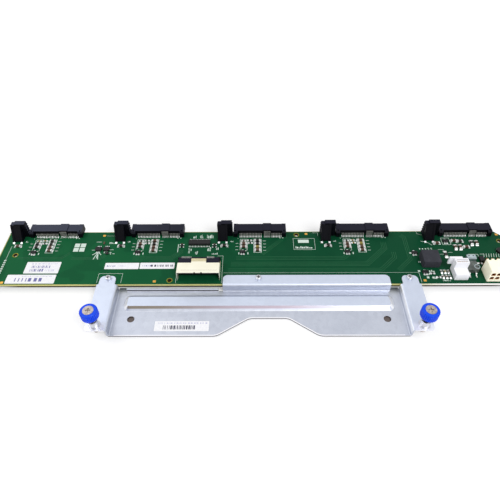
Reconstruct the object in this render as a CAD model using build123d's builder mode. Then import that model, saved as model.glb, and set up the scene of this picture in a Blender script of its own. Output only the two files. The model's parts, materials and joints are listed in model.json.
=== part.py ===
"""Drive backplane board on its folded mounting bracket, with two captive thumbscrews.

Millimetres, +Z up. The origin lies midway between the two locating holes, on the
underside of the bracket's plate. +X runs to the right along the board and +Y runs
away from the bracket, towards the drives.
"""
import os

from build123d import *

os.makedirs("parts", exist_ok=True)

# Bracket sheet and the heights that follow from it
sheet = 1.2
fold_radius = 0.8
board_gap = 4.6
board_thick = 2.4
board_top = board_gap + board_thick
flange_top = board_top + sheet
near = 0.1

# Bracket plate, with its raised panel and the notch in its front edge
plate_width = 220.0
plate_front = -14.3
board_front = 28.5
fold_clearance = 0.1
wall_gap = fold_radius + fold_clearance
wall_back = board_front - wall_gap
locating_inset = 15.0
locating_spacing = plate_width - 2 * locating_inset
locating_radius = 2.75
notch_back = 1.0
notch_flat = (-7.0, 22.0)
notch_mouth = (-31.0, 44.0)
notch_radius = 10.0
panel_y = 14.65
panel_margin = 7.5
panel_length = plate_width - 2 * panel_margin
panel_depth = 14.7
panel_height = 2.5
panel_slope = 3.1
panel_corner = 5.0
plate_relief = 7.5
relief_back = 29.4

# Folds that hold the board: two side flanges, one long rear flange, one short lip
side_flange = 14.8
flange_radius = 2.4
side_tab = (1.0, 13.5)
tab_reach = 7.4
tab_radius = 3.6
rear_flange_margin = 8.2
rear_flange = (-27.6, plate_width / 2 - rear_flange_margin)
rear_reach = 8.0
lip_margin = 7.5
lip = (lip_margin - plate_width / 2, -31.0)
lip_height = 3.8

# Circuit board
board_left = -211.8
board_right = 205.0
board_depth = 56.8
board_rear = board_front + board_depth
board_corner = 6.0
corner_rounding = 2.0
left_rounding = 1.0
tooling_radius = 1.75
tooling_holes = [(-199.0, 30.6), (-69.3, 3.8), (32.5, 52.8), (200.8, 45.0)]

# Board screws, their clearance holes and the nuts pressed into the board
screw_reach = 7.0
screw_x = (-plate_width / 2 - screw_reach, 0.0, plate_width / 2 + screw_reach)
screw_y = board_front + 4.9
screw_radius = 1.5
screw_hole = 1.8
screw_head = 2.4
screw_head_height = 1.9
screw_rounding = 0.85
recess_width = 0.7
recess_length = 2.8
recess_depth = 1.0
nut_radius = 3.0
nut_height = 1.5
nut_shank = 2.2
thread_clearance = 0.05

# Drive connectors along the rear edge
drives = 5
drive_pitch = 86.0
middle_drive = 1.5
drive_length = 42.2
drive_height = 5.8
drive_front = 52.4
drive_back = 60.8
drive_rounding = 0.5
drive_ear = 0.9
cheek_slope = 4.4
leg_width = 3.4
leg_front = 50.4
cheek_break = 1.2
peg_radius = 0.7
peg_inset = 2.2
peg_depth = 2.4
rib_length = 6.9
rib_centre = 6.2
rib_height = 0.6
contact = 0.4
contact_width = 0.7
contact_pitch = 1.27
run_margin = 0.5
port_pitch = 0.8
port_contacts = 7
port_width = 0.45
leg_inner = drive_length / 2 + drive_ear - leg_width
power_margin = 2.0
power_start = power_margin - leg_inner
power_gap = 4.4
power_contacts = int((rib_centre - power_gap - power_start) / contact_pitch) + 1
signal_margin = 0.68
signal_end = leg_inner - signal_margin
signal_reach = 3.5
signal_count = int((signal_end - rib_centre - signal_reach) / contact_pitch) + 1
signal_start = signal_end - contact_pitch * (signal_count - 1)
slot_floor = 2.9
slot_height = 1.9
slot_margin = 0.3
slot_length = 2 * (leg_inner - slot_margin)
slot_depth = 4.9
tail_gap = 0.5

# Tall signal connectors, one left of each drive connector
signal_gap = 1.7
signal_width = 11.8
signal_left = -(drive_length / 2 + drive_ear + signal_gap + signal_width)
signal_height = 14.7
signal_back = 55.9
signal_face = 51.6
shoulder_width = 2.9
shoulder_drop = 1.1
ridge = 0.5
ridges = 5
ridge_foot = 0.45
ridge_tip = 0.15
gusset = 1.6
gusset_gap = 4.8
gusset_front = 45.0
gusset_toe = 1.2
gusset_drop = 0.5
web_recess = 0.5
web_thick = 0.7
web_foot = 0.5
signal_slot = 3.2
signal_slot_floor = 1.5
signal_slot_depth = 3.4
signal_slot_margin = 0.2
signal_rows = 4
signal_row_pitch = 2.4
signal_tail_front = 1.7
signal_tail_pitch = 1.2
signal_knee = 1.0
signal_bend = 0.4

# Wide data connector with its metal cage, mouth to the front
data_x = -46.65
cage_width = 33.3
cage_height = 9.0
cage_sheet = 0.5
cage_front = 4.0
cage_top_depth = 10.2
cage_depth = 16.0
cage_tongue = 11.6
cage_tongue_reach = 4.4
latch_slot_spacing = 5.2
latch_slot_width = 1.2
latch_slot_reach = 0.8
housing_back = 21.4
housing_front = 10.5
blade_front = 6.8
blade_thick = 1.6
blade_floor = 3.4
blade_length = 28.6
data_contacts = 34
data_pitch = 0.8
data_contact_width = 0.4
foot_reach = 1.2
housing_chamfer = 1.2

# Power connector, two rows of round-cornered cavities facing the front
power_left = 175.9
power_columns = 5
power_pitch = 4.2
power_margin = 2.6
power_front = 1.8
power_depth = 12.8
power_height = 12.2
power_edge = 0.6
power_row = 3.9
cavity = 3.4
cavity_corner = 0.8
cavity_depth = 10.4
tooth_gap = 2.0
tooth_depth = 1.4
tooth_height = 3.4
latch_width = 6.0
latch_reach = (1.0, 4.0)
latch_rise = 1.1
power_pin = 1.0
pin_start = 2.0
pin_drop = 0.6
pin_row_step = 2.4

# Auxiliary connector: low front block, tall block with a tongue in the slot of its top, rear slab
aux_x = 156.7
aux_width = 10.5
aux_front = 3.3
aux_step = 10.2
aux_back = 15.4
aux_low = 6.0
aux_high = 12.2
slab_depth = 1.7
slab_left = 3.3
slab_right = 3.9
slab_drop = 7.0
aux_slot = 2.6
aux_slot_length = 8.6
aux_slot_depth = 8.0
aux_tongue = 0.8
aux_pins = 5
aux_pin_pitch = 1.5
aux_pin = 0.6
aux_pin_thick = 0.25
aux_pin_drop = 0.8

# Power inductor
inductor_x = 136.9
inductor_y = 22.5
inductor_size = 13.8
inductor_depth = 13.0
inductor_height = 7.2
inductor_chamfer = 0.6
inductor_edge = 0.4

# Gull-wing leads
lead_pitch = 1.27
lead_width = 0.5
lead_reach = 1.2
lead_thick = 0.3
chip_taper = 4

# Chips with gull-wing leads: centre x, centre y from the board's front edge, length, depth, height
gull_chips = {
    "controller_chip": [(-48.8, 43.6, 17.9, 5.0, 2.0)],
    "driver_chips": [(-131.8, 36.6, 5.0, 3.9, 1.5), (-125.2, 36.6, 5.0, 3.9, 1.5)],
}

# Small chips: centre x, centre y from the board's front edge. The drive spots count x from each drive
chip_size = (4.0, 2.1, 1.4)
small_size = (2.0, 1.25, 1.0)
resistor_height = 0.5
transistor_size = (4.4, 2.4, 1.4)
shunt_size = (2.2, 5.6, 0.7)
diode_size = (3.6, 5.0, 2.0)
can_radius = 2.8
can_height = 2.2
column_step = 3.6
column_rear = 46.0
side_row = 42.6
drive_capacitors = [(-2.0, column_rear - column_step * i) for i in range(4)]
drive_capacitors += [(-13.5, side_row), (-13.5, side_row - column_step), (-29.5, 40.2)]
drive_resistors = [(-13.5, 46.2), (-8.6, 46.6), (-8.0, 43.6)]
drive_transistors = [(-14.2, 33.2)]
end_capacitors = [(148.3, 42.4), (162.9, 45.0), (167.8, 44.4), (171.3, 38.0)]
end_upright = [(162.3, 37.8), (166.3, 37.8), (176.9, 42.5), (181.0, 42.5)]
array_left = 143.9
array_step = 2.7
array_rows = (11.7, 6.5)
end_small = [(array_left + array_step * i, y) for i in range(3) for y in array_rows]
end_resistors = [(140.3, 6.2), (136.4, 10.2), (176.9, 20.4)]
end_transistors = [(156.0, 44.7), (131.0, 11.2), (127.2, 31.8)]
end_shunt = (152.3, 30.0)
end_diode = (179.2, 24.2)
end_can = (196.8, 33.0)

# Load switch: moulded body, metal tab behind it and two bent leads in front
switch_x = 167.3
switch_front = 10.6
switch_size = (10.0, 9.0, 4.4)
switch_edge = 0.5
switch_tab = (10.0, 1.6, 1.3)
switch_lead_spacing = 5.08
switch_lead_width = 0.9
switch_lead_thick = 0.5
switch_lead_rise = 1.6
switch_lead_knee = 1.8
switch_lead_toe = 2.6
switch_lead_reach = 5.0

# Filter coil
coil_x = 171.2
coil_y = 25.6
coil_size = (7.2, 4.8, 2.2)
coil_rounding = 0.8

# Captive thumbscrews, one on each side flange
thumb_reach = 8.0
thumb_x = plate_width / 2 + thumb_reach
thumb_y = -9.6
knob_radius = 6.3
knob_height = 7.1
knob_lift = 11.0
knob_grooves = 30
knob_groove = 0.4
knob_chamfer = 0.6
knob_bore = 4.0
knob_bore_depth = 4.4
barrel_radius = 3.5
barrel_bore = 2.9
barrel_height = 6.0
seat_radius = 4.3
seat_height = 0.8
shank_fit = 3.0
shelf_height = 0.3
shank_hole = 1.75
shank_radius = 1.5
stem_radius = 2.5
cap_radius = 3.85
cap_seat = 1.0
cap_proud = 0.2
cap_recess = 3.8
thread_radius = 2.0
thread_gap = 0.2
thread_length = 6.0
thread_tip = 0.6
wire = 0.5
spring_radius = 2.3
spring_turns = 7


def write(builder, name):
    """Label a finished sub-part and write it as a STEP file of the same name."""
    builder.part.label = name
    export_step(builder.part, f"parts/{name}.step")


def on_board(y):
    """Turn a distance from the board's front edge into the part's Y."""
    return board_front + y


# Mounting bracket
half_plate = plate_width / 2
fold_line = fold_radius + sheet / 2
wall_line = half_plate - sheet / 2
flange_line = flange_top - sheet / 2
rear_wall_line = wall_back - sheet / 2
lip_line = rear_wall_line

with BuildPart() as mounting_bracket:
    with BuildSketch(Plane.XY) as plate:
        with BuildLine():
            Polyline(
                (-half_plate + fold_line, plate_front),
                (notch_mouth[0], plate_front),
                (notch_flat[0], notch_back),
                (notch_flat[1], notch_back),
                (notch_mouth[1], plate_front),
                (half_plate - fold_line, plate_front),
                (half_plate - fold_line, relief_back),
                (half_plate - plate_relief, relief_back),
                (half_plate - plate_relief, wall_back - fold_line),
                (-half_plate + plate_relief, wall_back - fold_line),
                (-half_plate + plate_relief, relief_back),
                (-half_plate + fold_line, relief_back),
                close=True,
            )
        make_face()
        front_corners = plate.vertices().filter_by(lambda v: v.Y < notch_back + sheet)
        fillet(front_corners.filter_by(lambda v: abs(v.X) < half_plate - fold_line - sheet), notch_radius)
        with GridLocations(locating_spacing, 0, 2, 1):
            Circle(locating_radius, mode=Mode.SUBTRACT)
    extrude(amount=sheet)

    with BuildSketch(Plane.XY.offset(sheet)):
        with Locations((0, panel_y)):
            RectangleRounded(panel_length, panel_depth, panel_corner)
    with BuildSketch(Plane.XY.offset(sheet + panel_height)):
        with Locations((0, panel_y)):
            RectangleRounded(
                panel_length - 2 * panel_slope, panel_depth - 2 * panel_slope, panel_corner - panel_slope
            )
    loft(ruled=True)
    with BuildSketch(Plane.XY):
        with Locations((0, panel_y)):
            RectangleRounded(panel_length, panel_depth, panel_corner)
    with BuildSketch(Plane.XY.offset(panel_height)):
        with Locations((0, panel_y)):
            RectangleRounded(
                panel_length - 2 * panel_slope, panel_depth - 2 * panel_slope, panel_corner - panel_slope
            )
    loft(ruled=True, mode=Mode.SUBTRACT)

    for side in (-1, 1):
        with BuildSketch(Plane.XZ.offset(-wall_back)):
            with BuildLine():
                FilletPolyline(
                    (side * (half_plate - 2 * fold_line), sheet / 2),
                    (side * wall_line, sheet / 2),
                    (side * wall_line, flange_line),
                    (side * (half_plate + side_flange), flange_line),
                    radius=fold_line,
                )
            trace(line_width=sheet)
        extrude(amount=wall_back - plate_front)
        with BuildSketch(Plane.XY.offset(board_top)) as tab:
            tab_middle = half_plate + sum(side_tab) / 2
            with Locations((side * tab_middle, (wall_back - fold_line + on_board(tab_reach)) / 2)):
                Rectangle(side_tab[1] - side_tab[0], on_board(tab_reach) - wall_back + fold_line)
            fillet(tab.vertices().group_by(Axis.Y)[-1], tab_radius)
        extrude(amount=sheet)

    with BuildSketch(Plane.YZ.offset(rear_flange[0])):
        with BuildLine():
            FilletPolyline(
                (wall_back - 2 * fold_line, sheet / 2),
                (rear_wall_line, sheet / 2),
                (rear_wall_line, flange_line),
                (on_board(rear_reach), flange_line),
                radius=fold_line,
            )
        trace(line_width=sheet)
    extrude(amount=rear_flange[1] - rear_flange[0])
    with BuildSketch(Plane.YZ.offset(lip[0])):
        with BuildLine():
            FilletPolyline(
                (wall_back - 2 * fold_line, sheet / 2),
                (lip_line, sheet / 2),
                (lip_line, lip_height),
                radius=fold_line,
            )
        trace(line_width=sheet)
    extrude(amount=lip[1] - lip[0])

    upright = mounting_bracket.edges().filter_by(Axis.Z)
    fillet(upright.filter_by(lambda e: e.center().Y > on_board(rear_reach) - near), tab_radius)
    flange_corners = upright.filter_by(lambda e: abs(e.center().X) > half_plate + side_flange - near)
    fillet(flange_corners.filter_by(lambda e: e.center().Y < plate_front + near), flange_radius)

    with BuildSketch(Plane.XY.offset(board_top)):
        with Locations(*[(x, screw_y) for x in screw_x]):
            Circle(screw_hole)
        with Locations((-thumb_x, thumb_y), (thumb_x, thumb_y)):
            Circle(shank_fit)
    extrude(amount=sheet, mode=Mode.SUBTRACT)
write(mounting_bracket, "mounting_bracket")

# Circuit board
with BuildPart() as circuit_board:
    with BuildSketch(Plane.XY.offset(board_gap)) as outline:
        with BuildLine():
            Polyline(
                (board_left, board_front),
                (board_right, board_front),
                (board_right, board_rear - board_corner),
                (board_right - board_corner, board_rear),
                (board_left, board_rear),
                close=True,
            )
        make_face()
        fillet(outline.vertices().group_by(Axis.Y)[-1].sort_by(Axis.X)[-1], corner_rounding)
        fillet(outline.vertices().group_by(Axis.Y)[1], corner_rounding)
        fillet(outline.vertices().group_by(Axis.X)[0], left_rounding)
        with Locations(*[(x, on_board(y)) for x, y in tooling_holes]):
            Circle(tooling_radius, mode=Mode.SUBTRACT)
        with Locations(*[(x, screw_y) for x in screw_x]):
            Circle(nut_shank, mode=Mode.SUBTRACT)
    extrude(amount=board_thick)
write(circuit_board, "circuit_board")

# Nuts pressed into the board from below, and the screws that reach them
with BuildPart() as board_nuts:
    with BuildSketch(Plane.XY.offset(board_gap - nut_height)):
        with Locations(*[(x, screw_y) for x in screw_x]):
            Circle(nut_radius)
            Circle(screw_radius + thread_clearance, mode=Mode.SUBTRACT)
    extrude(amount=nut_height)
    with BuildSketch(Plane.XY.offset(board_gap)):
        with Locations(*[(x, screw_y) for x in screw_x]):
            Circle(nut_shank)
            Circle(screw_radius + thread_clearance, mode=Mode.SUBTRACT)
    extrude(amount=board_thick)
write(board_nuts, "board_nuts")

screw_tip = board_gap - nut_height
with BuildPart() as board_screws:
    with BuildSketch(Plane.XY.offset(screw_tip)):
        with Locations(*[(x, screw_y) for x in screw_x]):
            Circle(screw_radius)
    extrude(amount=flange_top - screw_tip)
    with BuildSketch(Plane.XY.offset(flange_top)):
        with Locations(*[(x, screw_y) for x in screw_x]):
            Circle(screw_head)
    extrude(amount=screw_head_height)
    rims = board_screws.faces().filter_by(Axis.Z).group_by(Axis.Z)[-1].edges()
    fillet(rims, screw_rounding)
    with BuildSketch(Plane.XY.offset(flange_top + screw_head_height)):
        with Locations(*[(x, screw_y) for x in screw_x]):
            Rectangle(recess_length, recess_width)
            Rectangle(recess_width, recess_length)
    extrude(amount=-recess_depth, mode=Mode.SUBTRACT)
write(board_screws, "board_screws")

# Drive connectors: a long slot for the drive's tongue, two cheeks, and a raised rib
contact_floor = slot_floor - contact
roof = slot_floor + slot_height
port_floor = roof
first_drive = middle_drive - drive_pitch * (drives - 1) / 2
drive_x = [first_drive + drive_pitch * i for i in range(drives)]
power_x = [power_start + contact_pitch * i for i in range(power_contacts)]
signal_x = [signal_start + contact_pitch * i for i in range(signal_count)]
port_x = [rib_centre + port_pitch * (i - (port_contacts - 1) / 2) for i in range(port_contacts)]
body_wall = drive_back - slot_depth
leg_x = drive_length / 2 + drive_ear - leg_width / 2
tail_front = drive_front - tail_gap - contact

for number, x in enumerate(drive_x, start=1):
    with BuildPart() as drive_connector:
        with BuildSketch(Plane.YZ.offset(x - drive_length / 2)) as section:
            with BuildLine():
                Polyline(
                    (on_board(drive_front), board_top + contact_floor),
                    (on_board(body_wall), board_top + contact_floor),
                    (on_board(body_wall), board_top),
                    (on_board(drive_back), board_top),
                    (on_board(drive_back), board_top + drive_height),
                    (on_board(drive_front), board_top + drive_height),
                    close=True,
                )
            make_face()
            fillet(section.vertices().group_by(Axis.Y)[-1].sort_by(Axis.X)[:2], drive_rounding)
        extrude(amount=drive_length)
        for side in (-1, 1):
            with BuildSketch(Plane.YZ.offset(x + side * leg_x - leg_width / 2)):
                with BuildLine():
                    Polyline(
                        (on_board(leg_front), board_top),
                        (on_board(drive_back), board_top),
                        (on_board(drive_back), board_top + drive_height),
                        (on_board(leg_front) + cheek_break, board_top + drive_height),
                        (on_board(leg_front), board_top + cheek_slope),
                        close=True,
                    )
                make_face()
            extrude(amount=leg_width)
        with BuildSketch(Plane.XY.offset(board_top + drive_height)):
            with Locations(*[(x + dx, on_board(leg_front) + peg_inset) for dx in (-leg_x, leg_x)]):
                Circle(peg_radius)
        extrude(amount=-peg_depth, mode=Mode.SUBTRACT)
        with BuildSketch(Plane.XY.offset(board_top + drive_height)):
            with Locations((x + rib_centre, on_board((drive_front + drive_back) / 2))):
                Rectangle(rib_length, drive_back - drive_front)
        extrude(amount=rib_height)
        with BuildSketch(Plane.XZ.offset(-on_board(drive_back))):
            with Locations((x, board_top + slot_floor + slot_height / 2)):
                Rectangle(slot_length, slot_height)
        extrude(amount=slot_depth, mode=Mode.SUBTRACT)
        with BuildSketch(Plane.XZ.offset(-on_board(drive_back))):
            for run in (power_x, signal_x):
                with Locations((x + (run[0] + run[-1]) / 2, board_top + contact_floor + contact / 2)):
                    Rectangle(run[-1] - run[0] + contact_width + run_margin, contact)
            with Locations((x + rib_centre, board_top + port_floor + contact / 2)):
                Rectangle(port_x[-1] - port_x[0] + port_width + run_margin, contact)
        extrude(amount=drive_back - drive_front, mode=Mode.SUBTRACT)
    write(drive_connector, f"drive_connector_{number}")

    with BuildPart() as drive_contacts:
        for run, floor in ((power_x, contact_floor), (signal_x, contact_floor), (port_x, port_floor)):
            with BuildSketch(Plane.YZ.offset(x + run[0] - contact_width)):
                with BuildLine():
                    Polyline(
                        (on_board(tail_front), board_top),
                        (on_board(tail_front + contact), board_top),
                        (on_board(tail_front + contact), board_top + floor),
                        (on_board(drive_back - contact), board_top + floor),
                        (on_board(drive_back - contact), board_top + floor + contact),
                        (on_board(tail_front), board_top + floor + contact),
                        close=True,
                    )
                make_face()
            extrude(amount=run[-1] - run[0] + 2 * contact_width)
        with BuildSketch(Plane.XY.offset(board_top)):
            with Locations(*[(x + dx, on_board(drive_front)) for dx in power_x + signal_x]):
                Rectangle(contact_width, board_depth / 2)
            with Locations(*[(x + dx, on_board(drive_front)) for dx in port_x]):
                Rectangle(port_width, board_depth / 2)
        extrude(amount=drive_height, mode=Mode.INTERSECT)
    write(drive_contacts, f"drive_contacts_{number}")

# Tall signal connectors: ridged body, two gussets with a sloped web, contacts bent down behind it
row_z = [signal_slot_floor + signal_row_pitch * (i + 0.5) for i in range(signal_rows)]
ridge_step = (signal_height - shoulder_drop - 2 * ridge) / ridges
slot_x = gusset + gusset_gap / 2
column_x = [slot_x - signal_slot / 2 + contact_width / 2, slot_x + signal_slot / 2 - contact_width / 2]
signal_slot_height = signal_rows * signal_row_pitch + signal_slot_margin
slope = (signal_height - gusset_drop - gusset_toe) / (signal_face - gusset_front)
web_front = gusset_front + web_recess
web_back = web_front + web_thick

for number, x in enumerate(drive_x, start=1):
    left = x + signal_left + ridge
    with BuildPart() as signal_connector:
        with BuildSketch(Plane.XZ.offset(-on_board(signal_back))):
            with Locations((left + signal_width / 2, board_top + signal_height / 2)):
                Rectangle(signal_width, signal_height)
            with Locations((left + shoulder_width / 2, board_top + signal_height - shoulder_drop / 2)):
                Rectangle(shoulder_width, shoulder_drop, mode=Mode.SUBTRACT)
            for i in range(ridges):
                z = board_top + ridge + ridge_step * (i + 0.5)
                for edge_x, turn in ((left, 180), (left + signal_width, 0)):
                    with Locations(Location((edge_x, z), turn)):
                        Polygon(
                            (-ridge, -ridge_step * ridge_foot),
                            (ridge, -ridge_step * ridge_tip),
                            (ridge, ridge_step * ridge_tip),
                            (-ridge, ridge_step * ridge_foot),
                            align=None,
                        )
        extrude(amount=signal_back - signal_face)
        for wall_x in (left, left + gusset + gusset_gap):
            with BuildSketch(Plane.YZ.offset(wall_x)):
                with BuildLine():
                    Polyline(
                        (on_board(gusset_front), board_top),
                        (on_board(signal_face), board_top),
                        (on_board(signal_face), board_top + signal_height - gusset_drop),
                        (on_board(gusset_front), board_top + gusset_toe),
                        close=True,
                    )
                make_face()
            extrude(amount=gusset)
        with BuildSketch(Plane.YZ.offset(left + gusset)):
            with BuildLine():
                Polyline(
                    (on_board(web_front), board_top + web_foot),
                    (on_board(web_front), board_top + gusset_toe),
                    (on_board(signal_face), board_top + gusset_toe + slope * (signal_face - web_front)),
                    (on_board(signal_face), board_top + gusset_toe + slope * (signal_face - web_back)),
                    (on_board(web_back), board_top + gusset_toe),
                    (on_board(web_back), board_top + web_foot),
                    close=True,
                )
            make_face()
        extrude(amount=gusset_gap)
        with BuildSketch(Plane.XZ.offset(-on_board(signal_back))):
            with Locations((left + slot_x, board_top + signal_slot_floor + signal_slot_height / 2)):
                Rectangle(signal_slot, signal_slot_height)
        extrude(amount=signal_slot_depth, mode=Mode.SUBTRACT)
        with BuildSketch(Plane.XZ.offset(-on_board(signal_back))):
            with Locations(*[(left + dx, board_top + z) for dx in column_x for z in row_z]):
                Rectangle(contact_width, contact)
        extrude(amount=signal_back - signal_face, mode=Mode.SUBTRACT)
    write(signal_connector, f"signal_connector_{number}")

    with BuildPart() as signal_contacts:
        for row, z in enumerate(row_z):
            tail = gusset_front + signal_tail_front + signal_tail_pitch * (signal_rows - 1 - row)
            for dx in column_x:
                with BuildSketch(Plane.YZ.offset(left + dx - contact_width / 2)):
                    with BuildLine():
                        FilletPolyline(
                            (on_board(signal_back - contact), board_top + z),
                            (on_board(tail + (z - signal_knee) / slope), board_top + z),
                            (on_board(tail), board_top + signal_knee),
                            (on_board(tail), board_top),
                            radius=signal_bend,
                        )
                    trace(line_width=contact)
                extrude(amount=contact_width)
    write(signal_contacts, f"signal_contacts_{number}")

# Data connector: moulded housing with a contact blade, under a folded metal cage
with BuildPart() as data_housing:
    inner_width = cage_width - 2 * cage_sheet
    inner_height = cage_height - cage_sheet
    rear_start = cage_front + cage_depth
    with BuildSketch(Plane.XY.offset(board_top)) as block:
        with Locations((data_x, on_board((housing_front + housing_back) / 2))):
            Rectangle(inner_width, housing_back - housing_front)
        with Locations((data_x, on_board((rear_start + housing_back) / 2))):
            Rectangle(cage_width, housing_back - rear_start)
    extrude(amount=inner_height)
    with BuildSketch(Plane.XY.offset(board_top + blade_floor)):
        with Locations((data_x, on_board((blade_front + housing_front) / 2))):
            Rectangle(blade_length, housing_front - blade_front)
    extrude(amount=blade_thick)
    rear_rim = data_housing.faces().sort_by(Axis.Y)[-1].edges().sort_by(Axis.Z)[-1]
    chamfer(rear_rim, housing_chamfer)
    crown = data_housing.edges().filter_by(Axis.Y).group_by(Axis.Z)[-1]
    chamfer(crown, cage_sheet)
write(data_housing, "data_housing")

data_centres = [data_x + data_pitch * (i - (data_contacts - 1) / 2) for i in range(data_contacts)]
with BuildPart() as data_contact_row:
    with BuildSketch(Plane.XY.offset(board_top + blade_floor + blade_thick)):
        with Locations(*[(x, on_board((blade_front + housing_front) / 2)) for x in data_centres]):
            Rectangle(data_contact_width, housing_front - blade_front - contact)
    extrude(amount=contact / 2)
    with BuildSketch(Plane.XY.offset(board_top)):
        with Locations(*[(x, on_board(housing_back) + foot_reach / 2) for x in data_centres]):
            Rectangle(data_contact_width, foot_reach)
    extrude(amount=contact)
write(data_contact_row, "data_contacts")

with BuildPart() as data_cage:
    with BuildSketch(Plane.XZ.offset(-on_board(cage_front + cage_depth))):
        with BuildLine():
            FilletPolyline(
                (data_x - cage_width / 2 + cage_sheet / 2, board_top),
                (data_x - cage_width / 2 + cage_sheet / 2, board_top + cage_height - cage_sheet / 2),
                (data_x + cage_width / 2 - cage_sheet / 2, board_top + cage_height - cage_sheet / 2),
                (data_x + cage_width / 2 - cage_sheet / 2, board_top),
                radius=cage_sheet,
            )
        trace(line_width=cage_sheet)
    extrude(amount=cage_depth)
    with BuildSketch(Plane.XY.offset(board_top + cage_height)):
        top_back = cage_front + cage_top_depth
        with Locations((data_x, on_board((top_back + cage_front + cage_depth) / 2))):
            Rectangle(cage_width, cage_depth - cage_top_depth)
        with Locations((data_x, on_board(top_back) + cage_tongue_reach / 2)):
            Rectangle(cage_tongue, cage_tongue_reach, mode=Mode.SUBTRACT)
    extrude(amount=-cage_height / 2, mode=Mode.SUBTRACT)
    with BuildSketch(Plane.XY.offset(board_top + cage_height)):
        with Locations((data_x, on_board(cage_front))):
            with GridLocations(latch_slot_spacing, 1, 2, 1):
                Rectangle(latch_slot_width, 2 * latch_slot_reach)
    extrude(amount=-cage_sheet, mode=Mode.SUBTRACT)
write(data_cage, "data_cage")

# Power connector and its bent pins
power_width = power_pitch * (power_columns - 1) + 2 * power_margin
power_x0 = power_left + power_margin
cavity_x = [power_x0 + power_pitch * i for i in range(power_columns)]
cavity_z = [power_row, power_row + power_pitch]
with BuildPart() as power_connector:
    with BuildSketch(Plane.XY.offset(board_top)):
        with Locations((power_left + power_width / 2, on_board(power_front + power_depth / 2))):
            Rectangle(power_width, power_depth)
    extrude(amount=power_height)
    chamfer(power_connector.edges().filter_by(Axis.Y).group_by(Axis.Z)[-1], power_edge)
    with BuildSketch(Plane.YZ.offset(power_left + (power_width - latch_width) / 2)):
        with BuildLine():
            Polyline(
                (on_board(power_front + latch_reach[0]), board_top + power_height),
                (on_board(power_front + latch_reach[1]), board_top + power_height),
                (on_board(power_front + latch_reach[1]), board_top + power_height + latch_rise),
                close=True,
            )
        make_face()
    extrude(amount=latch_width)
    with BuildSketch(Plane.XZ.offset(-on_board(power_front + power_depth))):
        with Locations(*[(x, board_top + power_height - tooth_height / 2) for x in cavity_x]):
            Rectangle(tooth_gap, tooth_height)
    extrude(amount=tooth_depth, mode=Mode.SUBTRACT)
    with BuildSketch(Plane.XZ.offset(-on_board(power_front))) as mouths:
        with Locations(*[(x, board_top + z) for x in cavity_x for z in cavity_z]):
            Rectangle(cavity, cavity)
        rims = mouths.vertices().group_by(Axis.Y)
        chamfer(rims[-1] + rims[1], cavity_corner)
    extrude(amount=-cavity_depth, mode=Mode.SUBTRACT)
    with BuildSketch(Plane.XZ.offset(-on_board(power_front))):
        with Locations(*[(x, board_top + z) for x in cavity_x for z in cavity_z]):
            Rectangle(power_pin, power_pin)
    extrude(amount=-power_depth, mode=Mode.SUBTRACT)
write(power_connector, "power_connector")

with BuildPart() as power_pins:
    for x in cavity_x:
        for row, z in enumerate(cavity_z):
            drop = power_front + power_depth + pin_drop + power_pin + pin_row_step * row
            with BuildSketch(Plane.YZ.offset(x - power_pin / 2)):
                with BuildLine():
                    Polyline(
                        (on_board(power_front + pin_start), board_top + z - power_pin / 2),
                        (on_board(drop - power_pin), board_top + z - power_pin / 2),
                        (on_board(drop - power_pin), board_top),
                        (on_board(drop), board_top),
                        (on_board(drop), board_top + z + power_pin / 2),
                        (on_board(power_front + pin_start), board_top + z + power_pin / 2),
                        close=True,
                    )
                make_face()
            extrude(amount=power_pin)
write(power_pins, "power_pins")

# Auxiliary connector and its contacts, which lie on both faces of the tongue
aux_middle = (aux_step + aux_back) / 2
with BuildPart() as aux_connector:
    with BuildSketch(Plane.YZ.offset(aux_x - aux_width / 2)):
        with BuildLine():
            Polyline(
                (on_board(aux_front), board_top),
                (on_board(aux_back), board_top),
                (on_board(aux_back), board_top + aux_high),
                (on_board(aux_step), board_top + aux_high),
                (on_board(aux_step), board_top + aux_low),
                (on_board(aux_front), board_top + aux_low),
                close=True,
            )
        make_face()
    extrude(amount=aux_width)
    with BuildSketch(Plane.XY.offset(board_top + aux_high)):
        with Locations((aux_x - (slab_left + slab_right) / 2, on_board(aux_back + slab_depth / 2))):
            Rectangle(aux_width + slab_left - slab_right, slab_depth)
    extrude(amount=-slab_drop)
    with BuildSketch(Plane.XY.offset(board_top + aux_high)):
        with Locations((aux_x, on_board(aux_middle))):
            Rectangle(aux_slot_length, aux_slot)
            Rectangle(aux_slot_length, aux_tongue, mode=Mode.SUBTRACT)
    extrude(amount=-aux_slot_depth, mode=Mode.SUBTRACT)
write(aux_connector, "aux_connector")

with BuildPart() as aux_pin_row:
    with BuildSketch(Plane.XY.offset(board_top + aux_high - aux_slot_depth)):
        with Locations((aux_x, on_board(aux_middle))):
            with GridLocations(aux_pin_pitch, aux_tongue + aux_pin_thick, aux_pins, 2):
                Rectangle(aux_pin, aux_pin_thick)
    extrude(amount=aux_slot_depth - aux_pin_drop)
write(aux_pin_row, "aux_pins")

# Power inductor
with BuildPart() as power_inductor:
    with BuildSketch(Plane.XY.offset(board_top)) as foot:
        with Locations((inductor_x, on_board(inductor_y))):
            Rectangle(inductor_size, inductor_depth)
        chamfer(foot.vertices(), inductor_chamfer)
    extrude(amount=inductor_height)
    chamfer(power_inductor.faces().sort_by(Axis.Z)[-1].edges(), inductor_edge)
write(power_inductor, "power_inductor")

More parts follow.
